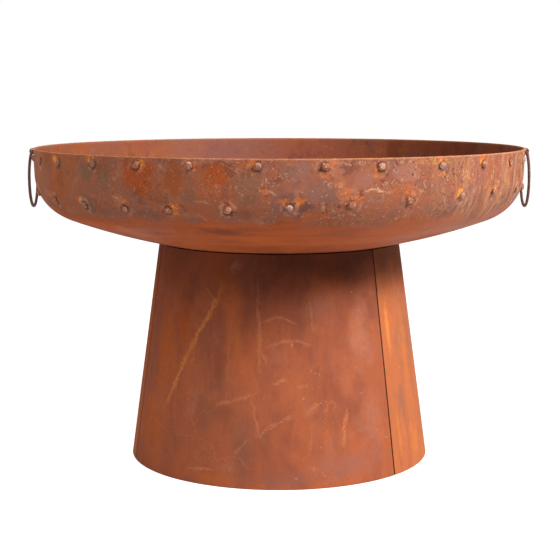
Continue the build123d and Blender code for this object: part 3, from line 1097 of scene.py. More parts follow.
    def _rivet_traces(self, coat: Coat) -> None:
        """Each rivet has its stain, its pressed collar, and a dark foot of painted shadow and crevice rust.

        Args:
            coat: The finish that is being laid.
        """
        sheet = coat.sheet
        torn = coat.noise(110.0, 12.0, detail=7.0, roughness=0.72)
        stain = coat.shaken(sheet.attribute("stain"), torn, 1.8)
        coat.over(sheet.ramp(stain, 0.3, 0.5), self.stain, 0.85)
        coat.over(sheet.ramp(stain, 0.64, 0.8), self.stain_heart, 0.85)
        collar = sheet.attribute("collar")
        coat.over(coat.both(collar, sheet.ramp(torn, 0.44, 0.55)), self.collar, 0.85)
        coat.over(coat.both(collar, sheet.ramp(torn, 0.49, 0.41)), self.collar_pit, 0.7)
        # painted shadow round each rivet's foot, heavier to the lower left, partly crevice rust
        coat.over(coat.both(sheet.attribute("foot"), sheet.ramp(torn, 0.6, 0.42)), self.foot_rust_and_shadow, 0.85)
        coat.raise_by(coat.both(collar, torn), 1.0 * MM)


@dataclass(frozen=True)
class InnerRust:
    """The bowl's inside: red-brown rust with soft clouds, a scorched middle and upright smears."""

    name: str = "bowl_inside_rust"
    ground: str = "96523a"
    cool: str = "80544a"
    orange: str = "a35a31"
    umber: str = "6a3a2b"
    clay: str = "ad7358"
    speck: str = "b9836d"
    pit: str = "44251d"
    scorch: str = "3d2a25"
    ash: str = "8b7a70"
    grain: str = "6a3f33"
    smear: str = "5c2a1a"
    cool_smear: str = "8d6158"
    # painted shade on the right of the inside
    painted_right_shade: str = "6a2a10"
    left_orange: str = "b0602f"
    # painted highlight along the rim's inner edge
    rim: str = "b87a58"
    radius: float = 0.4
    scorch_from: float = 0.33
    scorch_full: float = 0.08
    rim_highlight_from: float = 0.506
    rim_highlight_until: float = 0.5095

    def build(self, effects: Effects) -> bpy.types.Material:
        """Draw the material.

        Args:
            effects: The shared node groups.

        Returns:
            The material.
        """
        coat = Coat(self.name, effects, self.ground)
        sheet = coat.sheet
        flat = coat.wrapped(self.radius, 2.0)
        coat.cloud_over(8.0, 0.45, 0.62, self.cool, 0.8, vector=flat, detail=5.0, seed=21.0)
        coat.cloud_over(10.0, 0.5, 0.64, self.orange, 0.75, detail=4.0, seed=22.0)
        coat.cloud_over(34.0, 0.54, 0.68, self.umber, 0.6, detail=6.0, seed=23.0)
        coat.cloud_over(60.0, 0.56, 0.7, self.clay, 0.4, detail=6.0, seed=24.0)
        coat.over(coat.grains(150.0, 0.24, 0.14, 5.0), self.speck, 0.5)
        pits = coat.grains(240.0, 0.3, 0.16, 6.0)
        coat.over(pits, self.pit, 0.5)

        # fires have scorched the middle and left a little ash
        away = sheet.length(sheet.vector("MULTIPLY", coat.spot, (1.0, 1.0, 0.0)))
        away = coat.shaken(away, coat.noise(9.0, 25.0, detail=5.0), 0.2)
        scorch = sheet.ramp(away, self.scorch_from, self.scorch_full)
        coat.over(scorch, self.scorch, 0.7)
        coat.cloud_over(45.0, 0.55, 0.72, self.ash, 0.4, where=scorch, detail=6.0, seed=26.0)
        fine = coat.noise(380.0, 27.0, detail=5.0)
        coat.over(sheet.ramp(fine, 0.45, 0.65), self.grain, 0.2)
        coat.raise_by(fine, 0.00025)
        coat.raise_by(coat.noise(45.0, 28.0, detail=3.0), 0.0006)
        coat.raise_by(pits, -0.0002)

        # smears down the wall, cooler at the left of the middle, and a dark red painted shade to the right
        steep = coat.wrapped(self.radius, 0.4, vector=coat.torn(14.0, 0.05, 7.0))
        coat.cloud_over(22.0, 0.5, 0.62, self.smear, 0.4, where=coat.to_the_right(-0.05, 0.1), vector=steep,
                        detail=5.0, seed=29.0)
        cooler = coat.both(coat.to_the_right(-0.24, -0.18), coat.to_the_right(0.02, -0.06))
        coat.over(cooler, self.cool_smear, 0.4)
        # painted shade: the right of the inside is darkened
        coat.over(coat.to_the_right(0.05, 0.33), self.painted_right_shade, 0.5)
        coat.over(sheet.minus(1.0, coat.to_the_right(-0.34, -0.2)), self.left_orange, 0.4)
        # painted highlight: a paler band just under the rim
        coat.over(sheet.ramp(coat.height(), self.rim_highlight_from, self.rim_highlight_until), self.rim, 0.5)
        return coat.finish()


@dataclass(frozen=True)
class PlainRust:
    """Rust on a small piece: a ground, a second colour in clouds, light crumbs and dark pores.

    With a pale colour, some of the pieces under it are paler, partly crust and partly painted highlight.
    With an overgrown colour, those at the left have rusted over.
    """

    name: str
    ground: str
    cloud: str
    crumb: str
    pore: str
    scale: float = 60.0
    cloud_strength: float = 0.8
    crumb_level: float = 0.56
    grain: float = 420.0
    relief: float = 0.0004
    roughness: float = 0.8
    metallic: float = 0.0
    specular: float = 0.3
    pale_crust_and_highlight: str = ""
    overgrown: str = ""
    seed: float = 0.0

    def build(self, effects: Effects) -> bpy.types.Material:
        """Draw the material.

        Args:
            effects: The shared node groups.

        Returns:
            The material.
        """
        coat = Coat(self.name, effects, self.ground, self.specular)
        coat.roughness = self.roughness
        coat.shader.inputs["Metallic"].default_value = self.metallic
        scale, seed = self.scale, self.seed
        torn = coat.torn(scale, 0.6 / scale, seed)
        patchy = coat.cloud_over(scale, 0.45, 0.58, self.cloud, self.cloud_strength, vector=torn,
                                 detail=6.0, seed=seed)
        flecks = coat.cloud_over(scale * 2.4, self.crumb_level, self.crumb_level + 0.05, self.crumb, 0.8,
                                 vector=torn, detail=6.0, roughness=0.65, seed=seed + 1)
        coat.over(coat.grains(self.grain, 0.4, 0.16, seed), self.crumb, 0.6)
        pores = coat.grains(self.grain * 1.2, 0.4, 0.2, seed + 1)
        coat.over(pores, self.pore, 0.7)
        coat.raise_by(coat.noise(self.grain * 1.5, seed, detail=5.0), self.relief)
        coat.raise_by(flecks, 0.8 * self.relief)
        coat.raise_by(pores, -0.6 * self.relief)
        # painted highlight, partly pale crust, on some of the pieces
        if self.pale_crust_and_highlight:
            some = coat.clouds(13.0, 0.5, 0.58, detail=1.0, seed=seed + 2)
            coat.cloud_over(scale, 0.42, 0.54, self.pale_crust_and_highlight, 0.45, where=some, vector=torn, detail=4.0,
                            seed=seed + 3)
        if self.overgrown:
            coat.over(coat.to_the_right(-0.12, -0.3), self.overgrown, 0.75)
        coat.dull(patchy, min(1.0, self.roughness + 0.12), 0.7)
        return coat.finish()


class Finishes:
    """Every finish of the fire pit, built once."""

    def __init__(self, effects: Effects) -> None:
        """Draw all materials.

        Args:
            effects: The shared node groups.
        """
        self.bowl_outside = CrustedRust(wall_blotches=WALL_BLOTCHES, wall_marks=WALL_MARKS,
                                        dish_blotches=DISH_BLOTCHES).build(effects)
        self.bowl_inside = InnerRust().build(effects)
        plain = (
            PlainRust("rim_edge_rust", "b9794f", "a0603c", "d8a078", "7a4430", scale=90.0, relief=0.0002,
                      seed=31.0),
            PlainRust("rivet_rust", "85492f", "a85c34", "dcae92", "3f2018", scale=120.0, crumb_level=0.55,
                      grain=520.0, relief=0.0007, roughness=0.5, specular=0.6, pale_crust_and_highlight="cf9d88",
                      overgrown="84482b", seed=32.0),
            PlainRust("bar_rust", "7c452c", "96552f", "b17a52", "3b2018", seed=33.0),
            PlainRust("weld_rust", "5d3a2d", "85502f", "9a7460", "2d1a15", scale=150.0, relief=0.0005,
                      seed=34.0),
            PlainRust("ring_iron", "5a3730", "74453a", "9a6c60", "2a1814", scale=120.0, cloud_strength=0.6,
                      grain=600.0, roughness=0.6, metallic=0.1, seed=35.0),
            PlainRust("fastener_steel", "6c5a50", "8a5433", "a58a78", "37261f", scale=170.0, roughness=0.5,
                      metallic=0.45, seed=36.0),
            PlainRust("grate_scale", "3a2c28", "6e4029", "8b7265", "1d1513", scale=55.0, cloud_strength=0.7,
                      seed=37.0),
        )
        built = (finish.build(effects) for finish in plain)
        self.rim, self.rivet, self.bar, self.weld, self.iron, self.steel, self.grate = built
        front = PanelRust("front_panel_rust", seed=40.0, marks=FRONT_MARKS, blotches=FRONT_BLOTCHES)
        right = PanelRust("right_panel_rust", ground="b96840", shade="8c583f", glow="cb7842",
                          patina_and_shadow_strength=0.7, runs=0.35, seed=50.0, blotches=RIGHT_BLOTCHES)
        left = PanelRust("left_panel_rust", ground="b05a2e", glow="c4682e", seed=60.0)
        self.panels = {f"base_panel_{side}": finish.build(effects)
                       for side, finish in (("front", front), ("right", right), ("left", left))}


FRONT_MARKS = (
    # the long scrape down the left, in two parts, and the small one that crosses its top
    Mark(-32.0, 0.252, 62.0, 0.080, 0.0075, bend=0.5, colour="cb783c", strength=0.95),
    Mark(-44.8, 0.158, 64.0, 0.066, 0.0075, bend=-0.5, colour="cb783c", strength=0.95),
    Mark(-30.1, 0.291, -38.0, 0.022, 0.0050),
    # the edge of an old run, and the two arcs beside it
    Mark(-8.5, 0.245, -88.0, 0.090, 0.0050, colour="bd7850"),
    Mark(-0.7, 0.259, 2.0, 0.036, 0.0048, bend=-11.0),
    Mark(3.8, 0.224, 2.0, 0.044, 0.0048, bend=-7.0),
    Mark(13.3, 0.263, -87.0, 0.030, strength=0.35),
    # short strokes in the middle
    Mark(0.0, 0.163, 20.0, 0.015, strength=0.6),
    Mark(-6.0, 0.200, -62.0, 0.014, strength=0.4),
    Mark(9.0, 0.155, 8.0, 0.012, strength=0.4),
    # the forked mark low in the middle
    Mark(-16.4, 0.134, 19.0, 0.042, 0.0052, bend=2.0),
    Mark(-9.4, 0.110, -76.0, 0.040, 0.0048, bend=2.0, strength=0.45),
    Mark(-2.1, 0.097, 33.0, 0.038, 0.0048, bend=-2.0),
    # the zigzag at the right and the smaller marks by it
    Mark(25.8, 0.100, 75.0, 0.022, 0.0050, colour="cf7c4c", strength=0.6),
    Mark(24.8, 0.072, 89.0, 0.020, colour="cf7c4c", strength=0.5),
    Mark(12.4, 0.122, 40.0, 0.020, bend=-12.0),
    Mark(11.7, 0.075, 82.0, 0.030, strength=0.3),
    Mark(-14.2, 0.063, 55.0, 0.020, strength=0.35),
    Mark(-30.3, 0.023, 3.0, 0.027, 0.0050, colour="cd8658", strength=0.6),
    Mark(-20.7, 0.207, 89.0, 0.055, 0.0065, colour="b3633a"),
)

FRONT_BLOTCHES = (
    Blotch(-54.0, 0.200, 0.060, 0.090, "b65a22", 0.6, soft=1.0, ragged=1.6),
    Blotch(-62.0, 0.080, 0.060, 0.085, "b65a22", 0.5, soft=1.0, ragged=1.6),
    Blotch(-44.0, 0.250, 0.036, 0.060, "a8501e", 0.7, soft=1.0, ragged=1.8),
    Blotch(-24.0, 0.180, 0.020, 0.050, "7c4530", 0.6, soft=0.9, ragged=1.8),
    Blotch(-13.6, 0.062, 0.024, 0.080, "7c4f40", 0.7, soft=1.0, ragged=1.1),
    Blotch(-21.0, 0.112, 0.024, 0.034, "774636", 0.5, soft=1.0, ragged=1.3),
    Blotch(-30.0, 0.110, 0.022, 0.050, "80503c", 0.5, soft=0.9, ragged=2.0),
    Blotch(-42.0, 0.285, 0.024, 0.050, "6d4030", 0.5, soft=1.0, ragged=2.0),
    Blotch(-17.0, 0.225, 0.014, 0.060, "b5622f", 0.4, soft=1.0, ragged=1.6),
    Blotch(3.0, 0.170, 0.055, 0.065, "b2603c", 0.4, soft=1.0, ragged=1.6),
    Blotch(35.0, 0.225, 0.032, 0.070, "b3745c", 0.5, soft=1.0, ragged=1.8),
    Blotch(16.8, 0.276, 0.034, 0.026, "9c6656", 0.55, soft=1.0, ragged=1.8),
    Blotch(-13.5, 0.240, 0.020, 0.044, "6c3c2c", 0.45, soft=1.0, ragged=1.8),
    Blotch(27.5, 0.160, 0.026, 0.050, "bd6a44", 0.5, soft=1.0, ragged=1.6),
    Blotch(38.0, 0.090, 0.030, 0.070, "ad705c", 0.4, soft=1.0, ragged=1.8),
    Blotch(27.0, 0.030, 0.080, 0.034, "985f4e", 0.7, soft=1.0, ragged=1.6),
    Blotch(5.0, 0.014, 0.080, 0.018, "8c5848", 0.6, soft=1.0, ragged=1.4),
    Blotch(-24.0, 0.012, 0.050, 0.012, "b5602c", 0.5, soft=0.9),
    Blotch(-19.5, 0.334, 0.012, 0.012, "b98a70", 0.6, broken=1.0),
)

RIGHT_BLOTCHES = (
    Blotch(52.5, 0.225, 0.007, 0.055, "e88a3c", 0.6, soft=0.9),
    Blotch(66.0, 0.180, 0.024, 0.080, "d47630", 0.5, soft=1.0, ragged=1.8),
    Blotch(57.5, 0.108, 0.015, 0.042, "8c5e4e", 0.6, soft=1.0),
    Blotch(53.0, 0.060, 0.006, 0.045, "d9823a", 0.4, soft=0.9),
    Blotch(65.0, 0.040, 0.020, 0.034, "d27a38", 0.5, soft=0.9),
)

WALL_MARKS = (
    # pale wisps on the left, and the long tan one right of the middle
    Mark(-35.0, 0.448, -23.0, 0.013, 0.0035, bend=4.0, colour="b98a70", strength=0.7),
    Mark(-15.6, 0.450, -6.0, 0.016, 0.0030, bend=-6.0, colour="b98a70", strength=0.7),
    Mark(-15.8, 0.428, -42.0, 0.009, 0.0030, colour="b98a70", strength=0.7),
    Mark(-8.7, 0.494, -25.0, 0.008, 0.0025, colour="c48e70", strength=0.6),
    Mark(-1.4, 0.464, -36.0, 0.008, 0.0025, colour="d8a080", strength=0.6),
    Mark(19.9, 0.465, -4.0, 0.025, 0.0030, bend=-8.0, colour="d8a884", strength=0.7),
)

WALL_BLOTCHES = (
    # orange fields on the left
    Blotch(-57.0, 0.462, 0.034, 0.036, "a4521c", 0.7, soft=0.8),
    Blotch(-74.0, 0.470, 0.050, 0.036, "a85a30", 0.5, soft=1.0),
    Blotch(-29.5, 0.482, 0.034, 0.030, "a04410", 0.85, ragged=1.8),
    Blotch(-21.5, 0.480, 0.022, 0.028, "984a1c", 0.85),
    Blotch(-12.6, 0.486, 0.019, 0.020, "a64a1c", 0.9, soft=0.35, ragged=1.4),
    Blotch(-35.0, 0.446, 0.014, 0.014, "aa623c", 0.6),
    # olive and slate between them
    Blotch(-44.0, 0.486, 0.022, 0.016, "70523c", 0.7),
    Blotch(-39.0, 0.478, 0.014, 0.026, "75563e", 0.6, soft=0.8),
    Blotch(-45.0, 0.436, 0.020, 0.016, "6e5142", 0.7),
    Blotch(-18.0, 0.466, 0.017, 0.034, "7f5544", 0.7, soft=0.8, ragged=2.8),
    Blotch(-28.0, 0.430, 0.028, 0.012, "784a3c", 0.6),
    Blotch(-42.0, 0.425, 0.036, 0.010, "6f5046", 0.5, soft=0.9),
    Blotch(-19.0, 0.421, 0.034, 0.007, "74544a", 0.7),
    Blotch(-6.5, 0.466, 0.024, 0.030, "82563f", 0.75),
    Blotch(-7.0, 0.434, 0.020, 0.009, "70422f", 0.5, soft=1.0, ragged=3.0),
    # mauve from the front to the right
    Blotch(4.0, 0.492, 0.026, 0.016, "8c5e50", 0.75),
    Blotch(6.5, 0.460, 0.020, 0.014, "85584c", 0.65),
    Blotch(5.0, 0.446, 0.014, 0.010, "6c3e2e", 0.65),
    Blotch(17.0, 0.482, 0.022, 0.018, "96665a", 0.5, soft=1.0, ragged=3.0),
    Blotch(19.0, 0.452, 0.017, 0.011, "8d5c4e", 0.7),
    Blotch(26.0, 0.490, 0.024, 0.015, "a87262", 0.45, ragged=3.0),
    Blotch(33.5, 0.434, 0.020, 0.011, "875545", 0.7),
    Blotch(39.0, 0.430, 0.015, 0.014, "7e4f40", 0.7),
    Blotch(57.5, 0.480, 0.015, 0.030, "754a42", 0.85),
    Blotch(67.0, 0.444, 0.022, 0.020, "88584c", 0.65),
    # orange and ochre crumbs
    Blotch(16.4, 0.457, 0.006, 0.012, "603628", 0.7),
    Blotch(4.2, 0.455, 0.005, 0.008, "603628", 0.7),
    Blotch(2.6, 0.434, 0.010, 0.006, "cf8e70", 0.7, broken=0.6),
    Blotch(7.5, 0.430, 0.026, 0.008, "a8501e", 0.7),
    Blotch(13.0, 0.459, 0.012, 0.013, "c06836", 0.8, broken=0.6),
    Blotch(12.0, 0.474, 0.006, 0.006, "dc9450", 0.7, broken=0.8),
    Blotch(8.8, 0.443, 0.004, 0.006, "d8903c", 0.8, broken=0.6),
    Blotch(-2.8, 0.466, 0.008, 0.005, "cc7038", 0.8, broken=0.6),
    Blotch(0.7, 0.452, 0.012, 0.005, "c4662c", 0.8, broken=0.6),
    Blotch(27.0, 0.460, 0.018, 0.014, "c2622c", 0.7, soft=0.8, broken=0.5),
    Blotch(41.2, 0.458, 0.010, 0.012, "cc7230", 0.75, soft=0.7, broken=0.5),
    Blotch(54.0, 0.458, 0.014, 0.012, "cc7230", 0.7, soft=0.7, broken=0.5),
    Blotch(35.5, 0.484, 0.014, 0.006, "cc6a2c", 0.7, broken=0.4),
    Blotch(9.0, 0.487, 0.012, 0.005, "bb6032", 0.75, broken=0.3),
    Blotch(20.3, 0.486, 0.010, 0.006, "c8783c", 0.7, broken=0.4),
    Blotch(34.0, 0.503, 0.050, 0.006, "d09448", 0.7, broken=0.9),
    Blotch(76.0, 0.478, 0.030, 0.034, "c46a34", 0.5),
)

DISH_BLOTCHES = (
    Blotch(-42.0, 0.402, 0.110, 0.012, "bb5a22", 0.7, soft=1.0),
    Blotch(-13.0, 0.405, 0.050, 0.010, "6f331a", 0.7, soft=1.0),
    Blotch(20.0, 0.417, 0.060, 0.010, "8d5a48", 0.6, soft=1.0),
)


# ------------------------------------------------------------------ bowl


@dataclass
class BowlSection:
    """The bowl's cross-section, by its radii and heights."""

    sheet: float = 3.0 * MM
    wall_lean: float = math.radians(2.2)
    wall_length: float = 42.5 * MM
    knuckle_radius: float = 75.0 * MM
    dish_radius: float = 990.0 * MM
    rim_round: float = 0.8 * MM
    drain_radius: float = 5.0 * MM
    rim_radius: float = field(init=False)
    rim_z: float = field(init=False)
    wall_foot_z: float = field(init=False)
    knuckle_r: float = field(init=False)
    knuckle_z: float = field(init=False)
    dish_z: float = field(init=False)
    dish_edge: float = field(init=False)

    def __post_init__(self) -> None:
        """Take the rim from the solid, and work out the arcs' centres."""
        low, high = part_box("bowl_shell")
        self.rim_radius, self.rim_z = (high.x - low.x) / 2, high.z
        lean = self.wall_lean
        self.wall_foot_z = self.rim_z - self.wall_length * math.cos(lean)
        self.knuckle_r = (self.rim_radius - self.wall_length * math.sin(lean)
                          - self.knuckle_radius * math.cos(lean))
        self.knuckle_z = self.wall_foot_z + self.knuckle_radius * math.sin(lean)
        inner = self.dish_radius - self.knuckle_radius
        self.dish_z = self.knuckle_z + math.sqrt(inner**2 - self.knuckle_r**2)
        self.dish_edge = math.asin(self.knuckle_r / inner)

    def dish_point(self, angle: float, depth: float) -> tuple[float, float]:
        """A point of the dish by its angle from the axis, at a depth into the sheet."""
        radius = self.dish_radius - depth
        return radius * math.sin(angle), self.dish_z - radius * math.cos(angle)

    def face(self, depth: float, spacing: float, dish_spacing: float) -> list[tuple[float, float]]:
        """One face of the sheet from the drain hole to the rim.

        Args:
            depth: 0 for the outside, the sheet's thickness for the inside.
            spacing: About how far apart the points of the knuckle and the wall are.
            dish_spacing: The same of the dish.

        Returns:
            Radius and height of each point.
        """
        hole = math.asin(self.drain_radius / (self.dish_radius - depth))
        steps = round((self.dish_edge - hole) * self.dish_radius / dish_spacing)
        angles = [hole + (self.dish_edge - hole) * i / steps for i in range(steps)]
        points = [self.dish_point(angle, depth) for angle in angles]
        radius = self.knuckle_radius - depth
        bend = math.pi / 2 - self.dish_edge - self.wall_lean
        steps = round(bend * self.knuckle_radius / spacing)
        for i in range(steps + 1):
            angle = self.dish_edge + bend * i / steps
            points.append((self.knuckle_r + radius * math.sin(angle),
                           self.knuckle_z - radius * math.cos(angle)))
        start_r, start_z = points[-1]
        end_r = self.rim_radius - depth / math.cos(self.wall_lean)
        end_z = self.rim_z - self.rim_round
        steps = round((end_z - start_z) / spacing)
        for i in range(1, steps + 1):
            share = i / steps
            points.append((start_r + (end_r - start_r) * share, start_z + (end_z - start_z) * share))
        return points

    def outline(self, fine: float, coarse: float) -> list[tuple[float, float]]:
        """The whole section as one closed line: outside, rounded rim, inside.

        Args:
            fine: How far apart the points are on the outside of the knuckle and the wall.
            coarse: The same of the dish and the inside.

        Returns:
            Radius and height of each point.
        """
        outside = self.face(0.0, fine, coarse)
        inside = self.face(self.sheet, coarse / 2, coarse)
        corner = self.rim_round
        turns = [math.radians(angle) for angle in (30.0, 60.0, 90.0)]
        middles = ((outside[-1][0] - corner, 1.0, turns), (inside[-1][0] + corner, -1.0, reversed(turns)))
        rim = [(middle + way * corner * math.cos(turn), self.rim_z - corner * (1.0 - math.sin(turn)))
               for middle, way, order in middles for turn in order]
        return outside + rim + inside[::-1]

    def nearest(self, point: Vector) -> tuple[Vector, Vector]:
        """The place on the bowl's outside nearest to a point, and the outward normal there.

        Args:
            point: A point near the side wall or the knuckle.

        Returns:
            The place and the normal.
        """
        azimuth = azimuth_of(point)
        outward = Vector((math.sin(azimuth), -math.cos(azimuth), 0.0))
        radius = math.hypot(point.x, point.y)
        tilt = max(self.wall_lean, math.atan2(self.knuckle_z - point.z, radius - self.knuckle_r))
        normal = outward * math.cos(tilt) - Vector((0.0, 0.0, math.sin(tilt)))
        if tilt > self.wall_lean:
            middle = outward * self.knuckle_r + Vector((0.0, 0.0, self.knuckle_z))
            return middle + normal * self.knuckle_radius, normal
        foot = outward * (self.knuckle_r + self.knuckle_radius * math.cos(tilt))
        foot.z = self.wall_foot_z
        return point - normal * (point - foot).dot(normal), normal


@dataclass
class Rivet:
    """A hand-set domed rivet head.

    The dents come from clouds of a size in the enlarged model's units, and each variant is held in another
    place of them.
    """

    radius: float = 6.5 * MM
    height: float = 5.5 * MM
    edge: float = 0.8 * MM
    sides: int = 20
    rings: int = 6
    dents: float = 2.6 * MM
    dent_size: float = 0.42
    dent_level: float = 0.7
    dent_aside: tuple[float, float, float] = (7.0, 3.0, 0.0)
    variants: int = 7

    def models(self, name: str) -> list[bpy.types.Object]:
        """Heads that differ in their dents, along +X from the origin.

        Args:
            name: The start of their names.

        Returns:
            The models to copy.
        """
        return [self._head(f"{name}_{i}", i) for i in range(self.variants)]

    def _head(self, name: str, number: int) -> bpy.types.Object:
        """One head: a low drum whose top is drawn in, ring by ring, to a dome, then hammered.

        Args:
            name: The model's name.
            number: Which of the variants it is.

        Returns:
            The model.
        """
        bpy.ops.mesh.primitive_cylinder_add(vertices=self.sides, radius=self.radius, depth=self.edge,
                                            location=(0.0, 0.0, self.edge / 2))
        head = bpy.context.object
        head.name = name
        settle(head)
        select_faces(head, lambda face: face.normal.z > 0.9)
        with editing(head):
            last_r, last_z = self.radius, self.edge
            for i in range(1, self.rings):
                angle = math.pi / 2 * i / self.rings
                ring_r = self.radius * math.cos(angle)
                ring_z = self.edge + (self.height - self.edge) * math.sin(angle)
                rise = {"value": (0.0, 0.0, ring_z - last_z)}
                bpy.ops.mesh.extrude_region_move(TRANSFORM_OT_translate=rise)
                share = ring_r / last_r
                bpy.ops.transform.resize(value=(share, share, 1.0), center_override=(0.0, 0.0, ring_z))
                last_r, last_z = ring_r, ring_z
            bpy.ops.mesh.poke()
        apply_modifier(head, "SUBSURF", levels=1, render_levels=1)
        dent(head, noise_texture(f"{name}_dents", self.dent_size), self.dents, self.dent_level,
             aside=number * Vector(self.dent_aside))
        head.data.transform(Matrix.Rotation(math.pi / 2, 4, "Y"))
        return head


@dataclass(frozen=True)
class RivetTraces:
    """Round each rivet: a stain, a pressed collar and a dark foot that is painted shadow, partly crevice
    rust.

    A pair holds the least and the most of what differs from rivet to rivet. The upper row's stains lie
    either way, and the lower row's are above the rivets. Stains are stronger towards the right.
    """

    upper_lift: Span = (-8.0 * MM, 8.0 * MM)
    lower_lift: Span = (3.0 * MM, 9.0 * MM)
    drift: Span = (-6.0 * MM, 3.0 * MM)
    spread: Span = (7.0 * MM, 11.0 * MM)
    strength: Span = (0.45, 0.95)
    strength_middle: float = 0.75
    strength_gain: float = 0.65
    collar: Span = (9.5 * MM, 12.5 * MM)
    collar_width: float = 2.2 * MM
    upper_pressed: Span = (0.0, 0.45)
    lower_pressed: Span = (0.2, 0.9)
    # the dark foot is painted shadow, partly crevice rust: how far it reaches, fades and leans to the lower
    # left
    foot_shadow_reach: float = 2.2 * MM
    foot_shadow_fade: float = 2.0 * MM
    foot_shadow_lean: float = 0.18


class Side(IntEnum):
    """The sides of the bowl's sheet, in the order of its materials."""

    OUTSIDE = 0
    INSIDE = 1
    RIM = 2


@dataclass
class Bowl:
    """The riveted bowl: its skin, the rivet heads, the clips and the lugs.

    The skin's points lie fine on the outside of the knuckle and the wall, and coarse elsewhere. It is
    uneven only away from the rim and the drain hole, where it stays calm.
    """

    section: BowlSection = field(default_factory=BowlSection)
    turns: int = 768
    fine: float = 2.8 * MM
    coarse: float = 16.0 * MM
    unevenness: float = 0.5 * MM
    unevenness_size: float = 50.0 * MM
    calm_at_rim: float = 12.0 * MM
    calm_at_hole: float = 30.0 * MM
    rivets: Rivet = field(default_factory=Rivet)
    traces: RivetTraces = RivetTraces()
    tilt: float = math.radians(7.0)
    flattened: Span = (0.75, 1.0)
    narrowed: Span = (0.82, 1.0)
    seed: int = 5

    def build(self, finishes: Finishes) -> None:
        """Build the pieces and dress the solids that stay.

        Args:
            finishes: The materials.
        """
        places = {name: self._rivet_places(name) for name in ("upper_rivets", "lower_rivets")}
        self._skin(finishes, places["upper_rivets"] + places["lower_rivets"])
        draw = random.Random(self.seed)
        for name, rivets in places.items():
            self._heads(name, rivets, draw, finishes.rivet)
        dress("clip_rivets", finishes.rivet)
        dress("ring_clip_left", finishes.iron)
        dress("ring_clip_right", finishes.iron)
        dress("locating_lugs", finishes.bar)

    def _rivet_places(self, node: str) -> list[tuple[Vector, Vector]]:
        """The foot and the outward normal of each rivet of a row."""
        groups = solids_of(node, reach=4 * self.rivets.radius)
        return [self.section.nearest(middle_of(group)) for group in groups]

    def _skin(self, finishes: Finishes, rivets: Sequence[tuple[Vector, Vector]]) -> None:
        """Spin the sheet's section into the bowl.

        Args:
            finishes: The materials.
            rivets: The rivets' places, for their collars and stains.
        """
        outline = self.section.outline(self.fine, self.coarse)
        bpy.ops.mesh.primitive_plane_add(size=self.section.sheet)
        skin = bpy.context.object
        with editing(skin):
            bpy.ops.mesh.merge(type="CENTER")
            last = Vector((0.0, 0.0, 0.0))
            for radius, height in outline:
                step = Vector((radius, 0.0, height)) - last
                if last.length:
                    bpy.ops.mesh.extrude_vertices_move(TRANSFORM_OT_translate={"value": step})
                else:
                    bpy.ops.transform.translate(value=step)
                last += step
            bpy.ops.mesh.select_all(action="SELECT")
            bpy.ops.mesh.remove_doubles(threshold=MERGE)
        ends = [Vector((radius, 0.0, height)) for radius, height in (outline[0], outline[-1])]
        select_vertices(skin, lambda place: min((place - end).length for end in ends) < 10 * MERGE)
        with editing(skin):
            bpy.ops.mesh.edge_face_add()
        apply_modifier(skin, "SCREW", axis="Z", angle=2 * math.pi, steps=self.turns,
                       render_steps=self.turns, use_merge_vertices=True, merge_threshold=MERGE)
        face_outwards(skin)
        skin = join([skin], "bowl_skin")
        self._make_uneven(skin)
        smooth(skin, 40.0)
        self._mark_rivets(skin, rivets)
        for material in (finishes.bowl_outside, finishes.bowl_inside, finishes.rim):
            skin.data.materials.append(material)
        sides = [self._side_of(face) for face in skin.data.polygons]
        skin.data.polygons.foreach_set("material_index", sides)
        enter(skin, Body.BOWL, Slot.BOWL, "bowl_shell")

    def _side_of(self, face: bpy.types.MeshPolygon) -> Side:
        """The side of the sheet that a face is on.

        Args:
            face: A face of the skin.

        Returns:
            The side.
        """
        section = self.section
        if face.center.z > section.rim_z - 0.9 * section.rim_round:
            return Side.RIM
        over_bowl = Vector((0.0, 0.0, section.rim_z + section.sheet))
        return Side.OUTSIDE if face.normal.dot(face.center - over_bowl) > 0 else Side.INSIDE

    def _make_uneven(self, skin: bpy.types.Object) -> None:
        """Give the sheet the slight unevenness of hand work, away from its rim and its drain hole.

        Args:
            skin: The bowl's skin.
        """
        section = self.section
        group = skin.vertex_groups.new(name="sheet")
        alike: dict[float, list[int]] = {}
        for vertex in skin.data.vertices:
            from_rim = (section.rim_z - vertex.co.z) / self.calm_at_rim
            from_hole = (math.hypot(vertex.co.x, vertex.co.y) - section.drain_radius) / self.calm_at_hole
            weight = round(max(0.0, min(1.0, from_rim, from_hole)), 2)
            alike.setdefault(weight, []).append(vertex.index)
        for weight, indices in alike.items():
            group.add(indices, weight, "REPLACE")
        texture = noise_texture("sheet_unevenness", self.unevenness_size, 1)
        apply_modifier(skin, "DISPLACE", texture=texture, texture_coords="LOCAL", direction="Z",
                       vertex_group="sheet", strength=self.unevenness, mid_level=0.5)
        skin.vertex_groups.clear()

    def _mark_rivets(self, skin: bpy.types.Object, rivets: Sequence[tuple[Vector, Vector]]) -> None:
        """Store on the skin how much of each rivet trace there is at each point.

        Args:
            skin: The bowl's skin.
            rivets: Foot and normal of each rivet.
        """
        places = np.empty(len(skin.data.vertices) * 3)
        skin.data.vertices.foreach_get("co", places)
        places = places.reshape(-1, 3)
        draw = random.Random(self.seed)
        traces = self.traces
        stain, collar, foot = (np.zeros(len(places)) for _ in range(3))
        for middle, normal in rivets:
            upper = middle.z > self.section.wall_foot_z
            lift = draw.uniform(*(traces.upper_lift if upper else traces.lower_lift))
            drift = draw.uniform(*traces.drift)
            wide, tall = draw.uniform(*traces.spread), draw.uniform(*traces.spread)
            gain = traces.strength_middle + traces.strength_gain * middle.x / self.section.rim_radius
            strength = draw.uniform(*traces.strength) * gain
            ring = draw.uniform(*traces.collar)
            pressed = draw.uniform(*(traces.upper_pressed if upper else traces.lower_pressed))

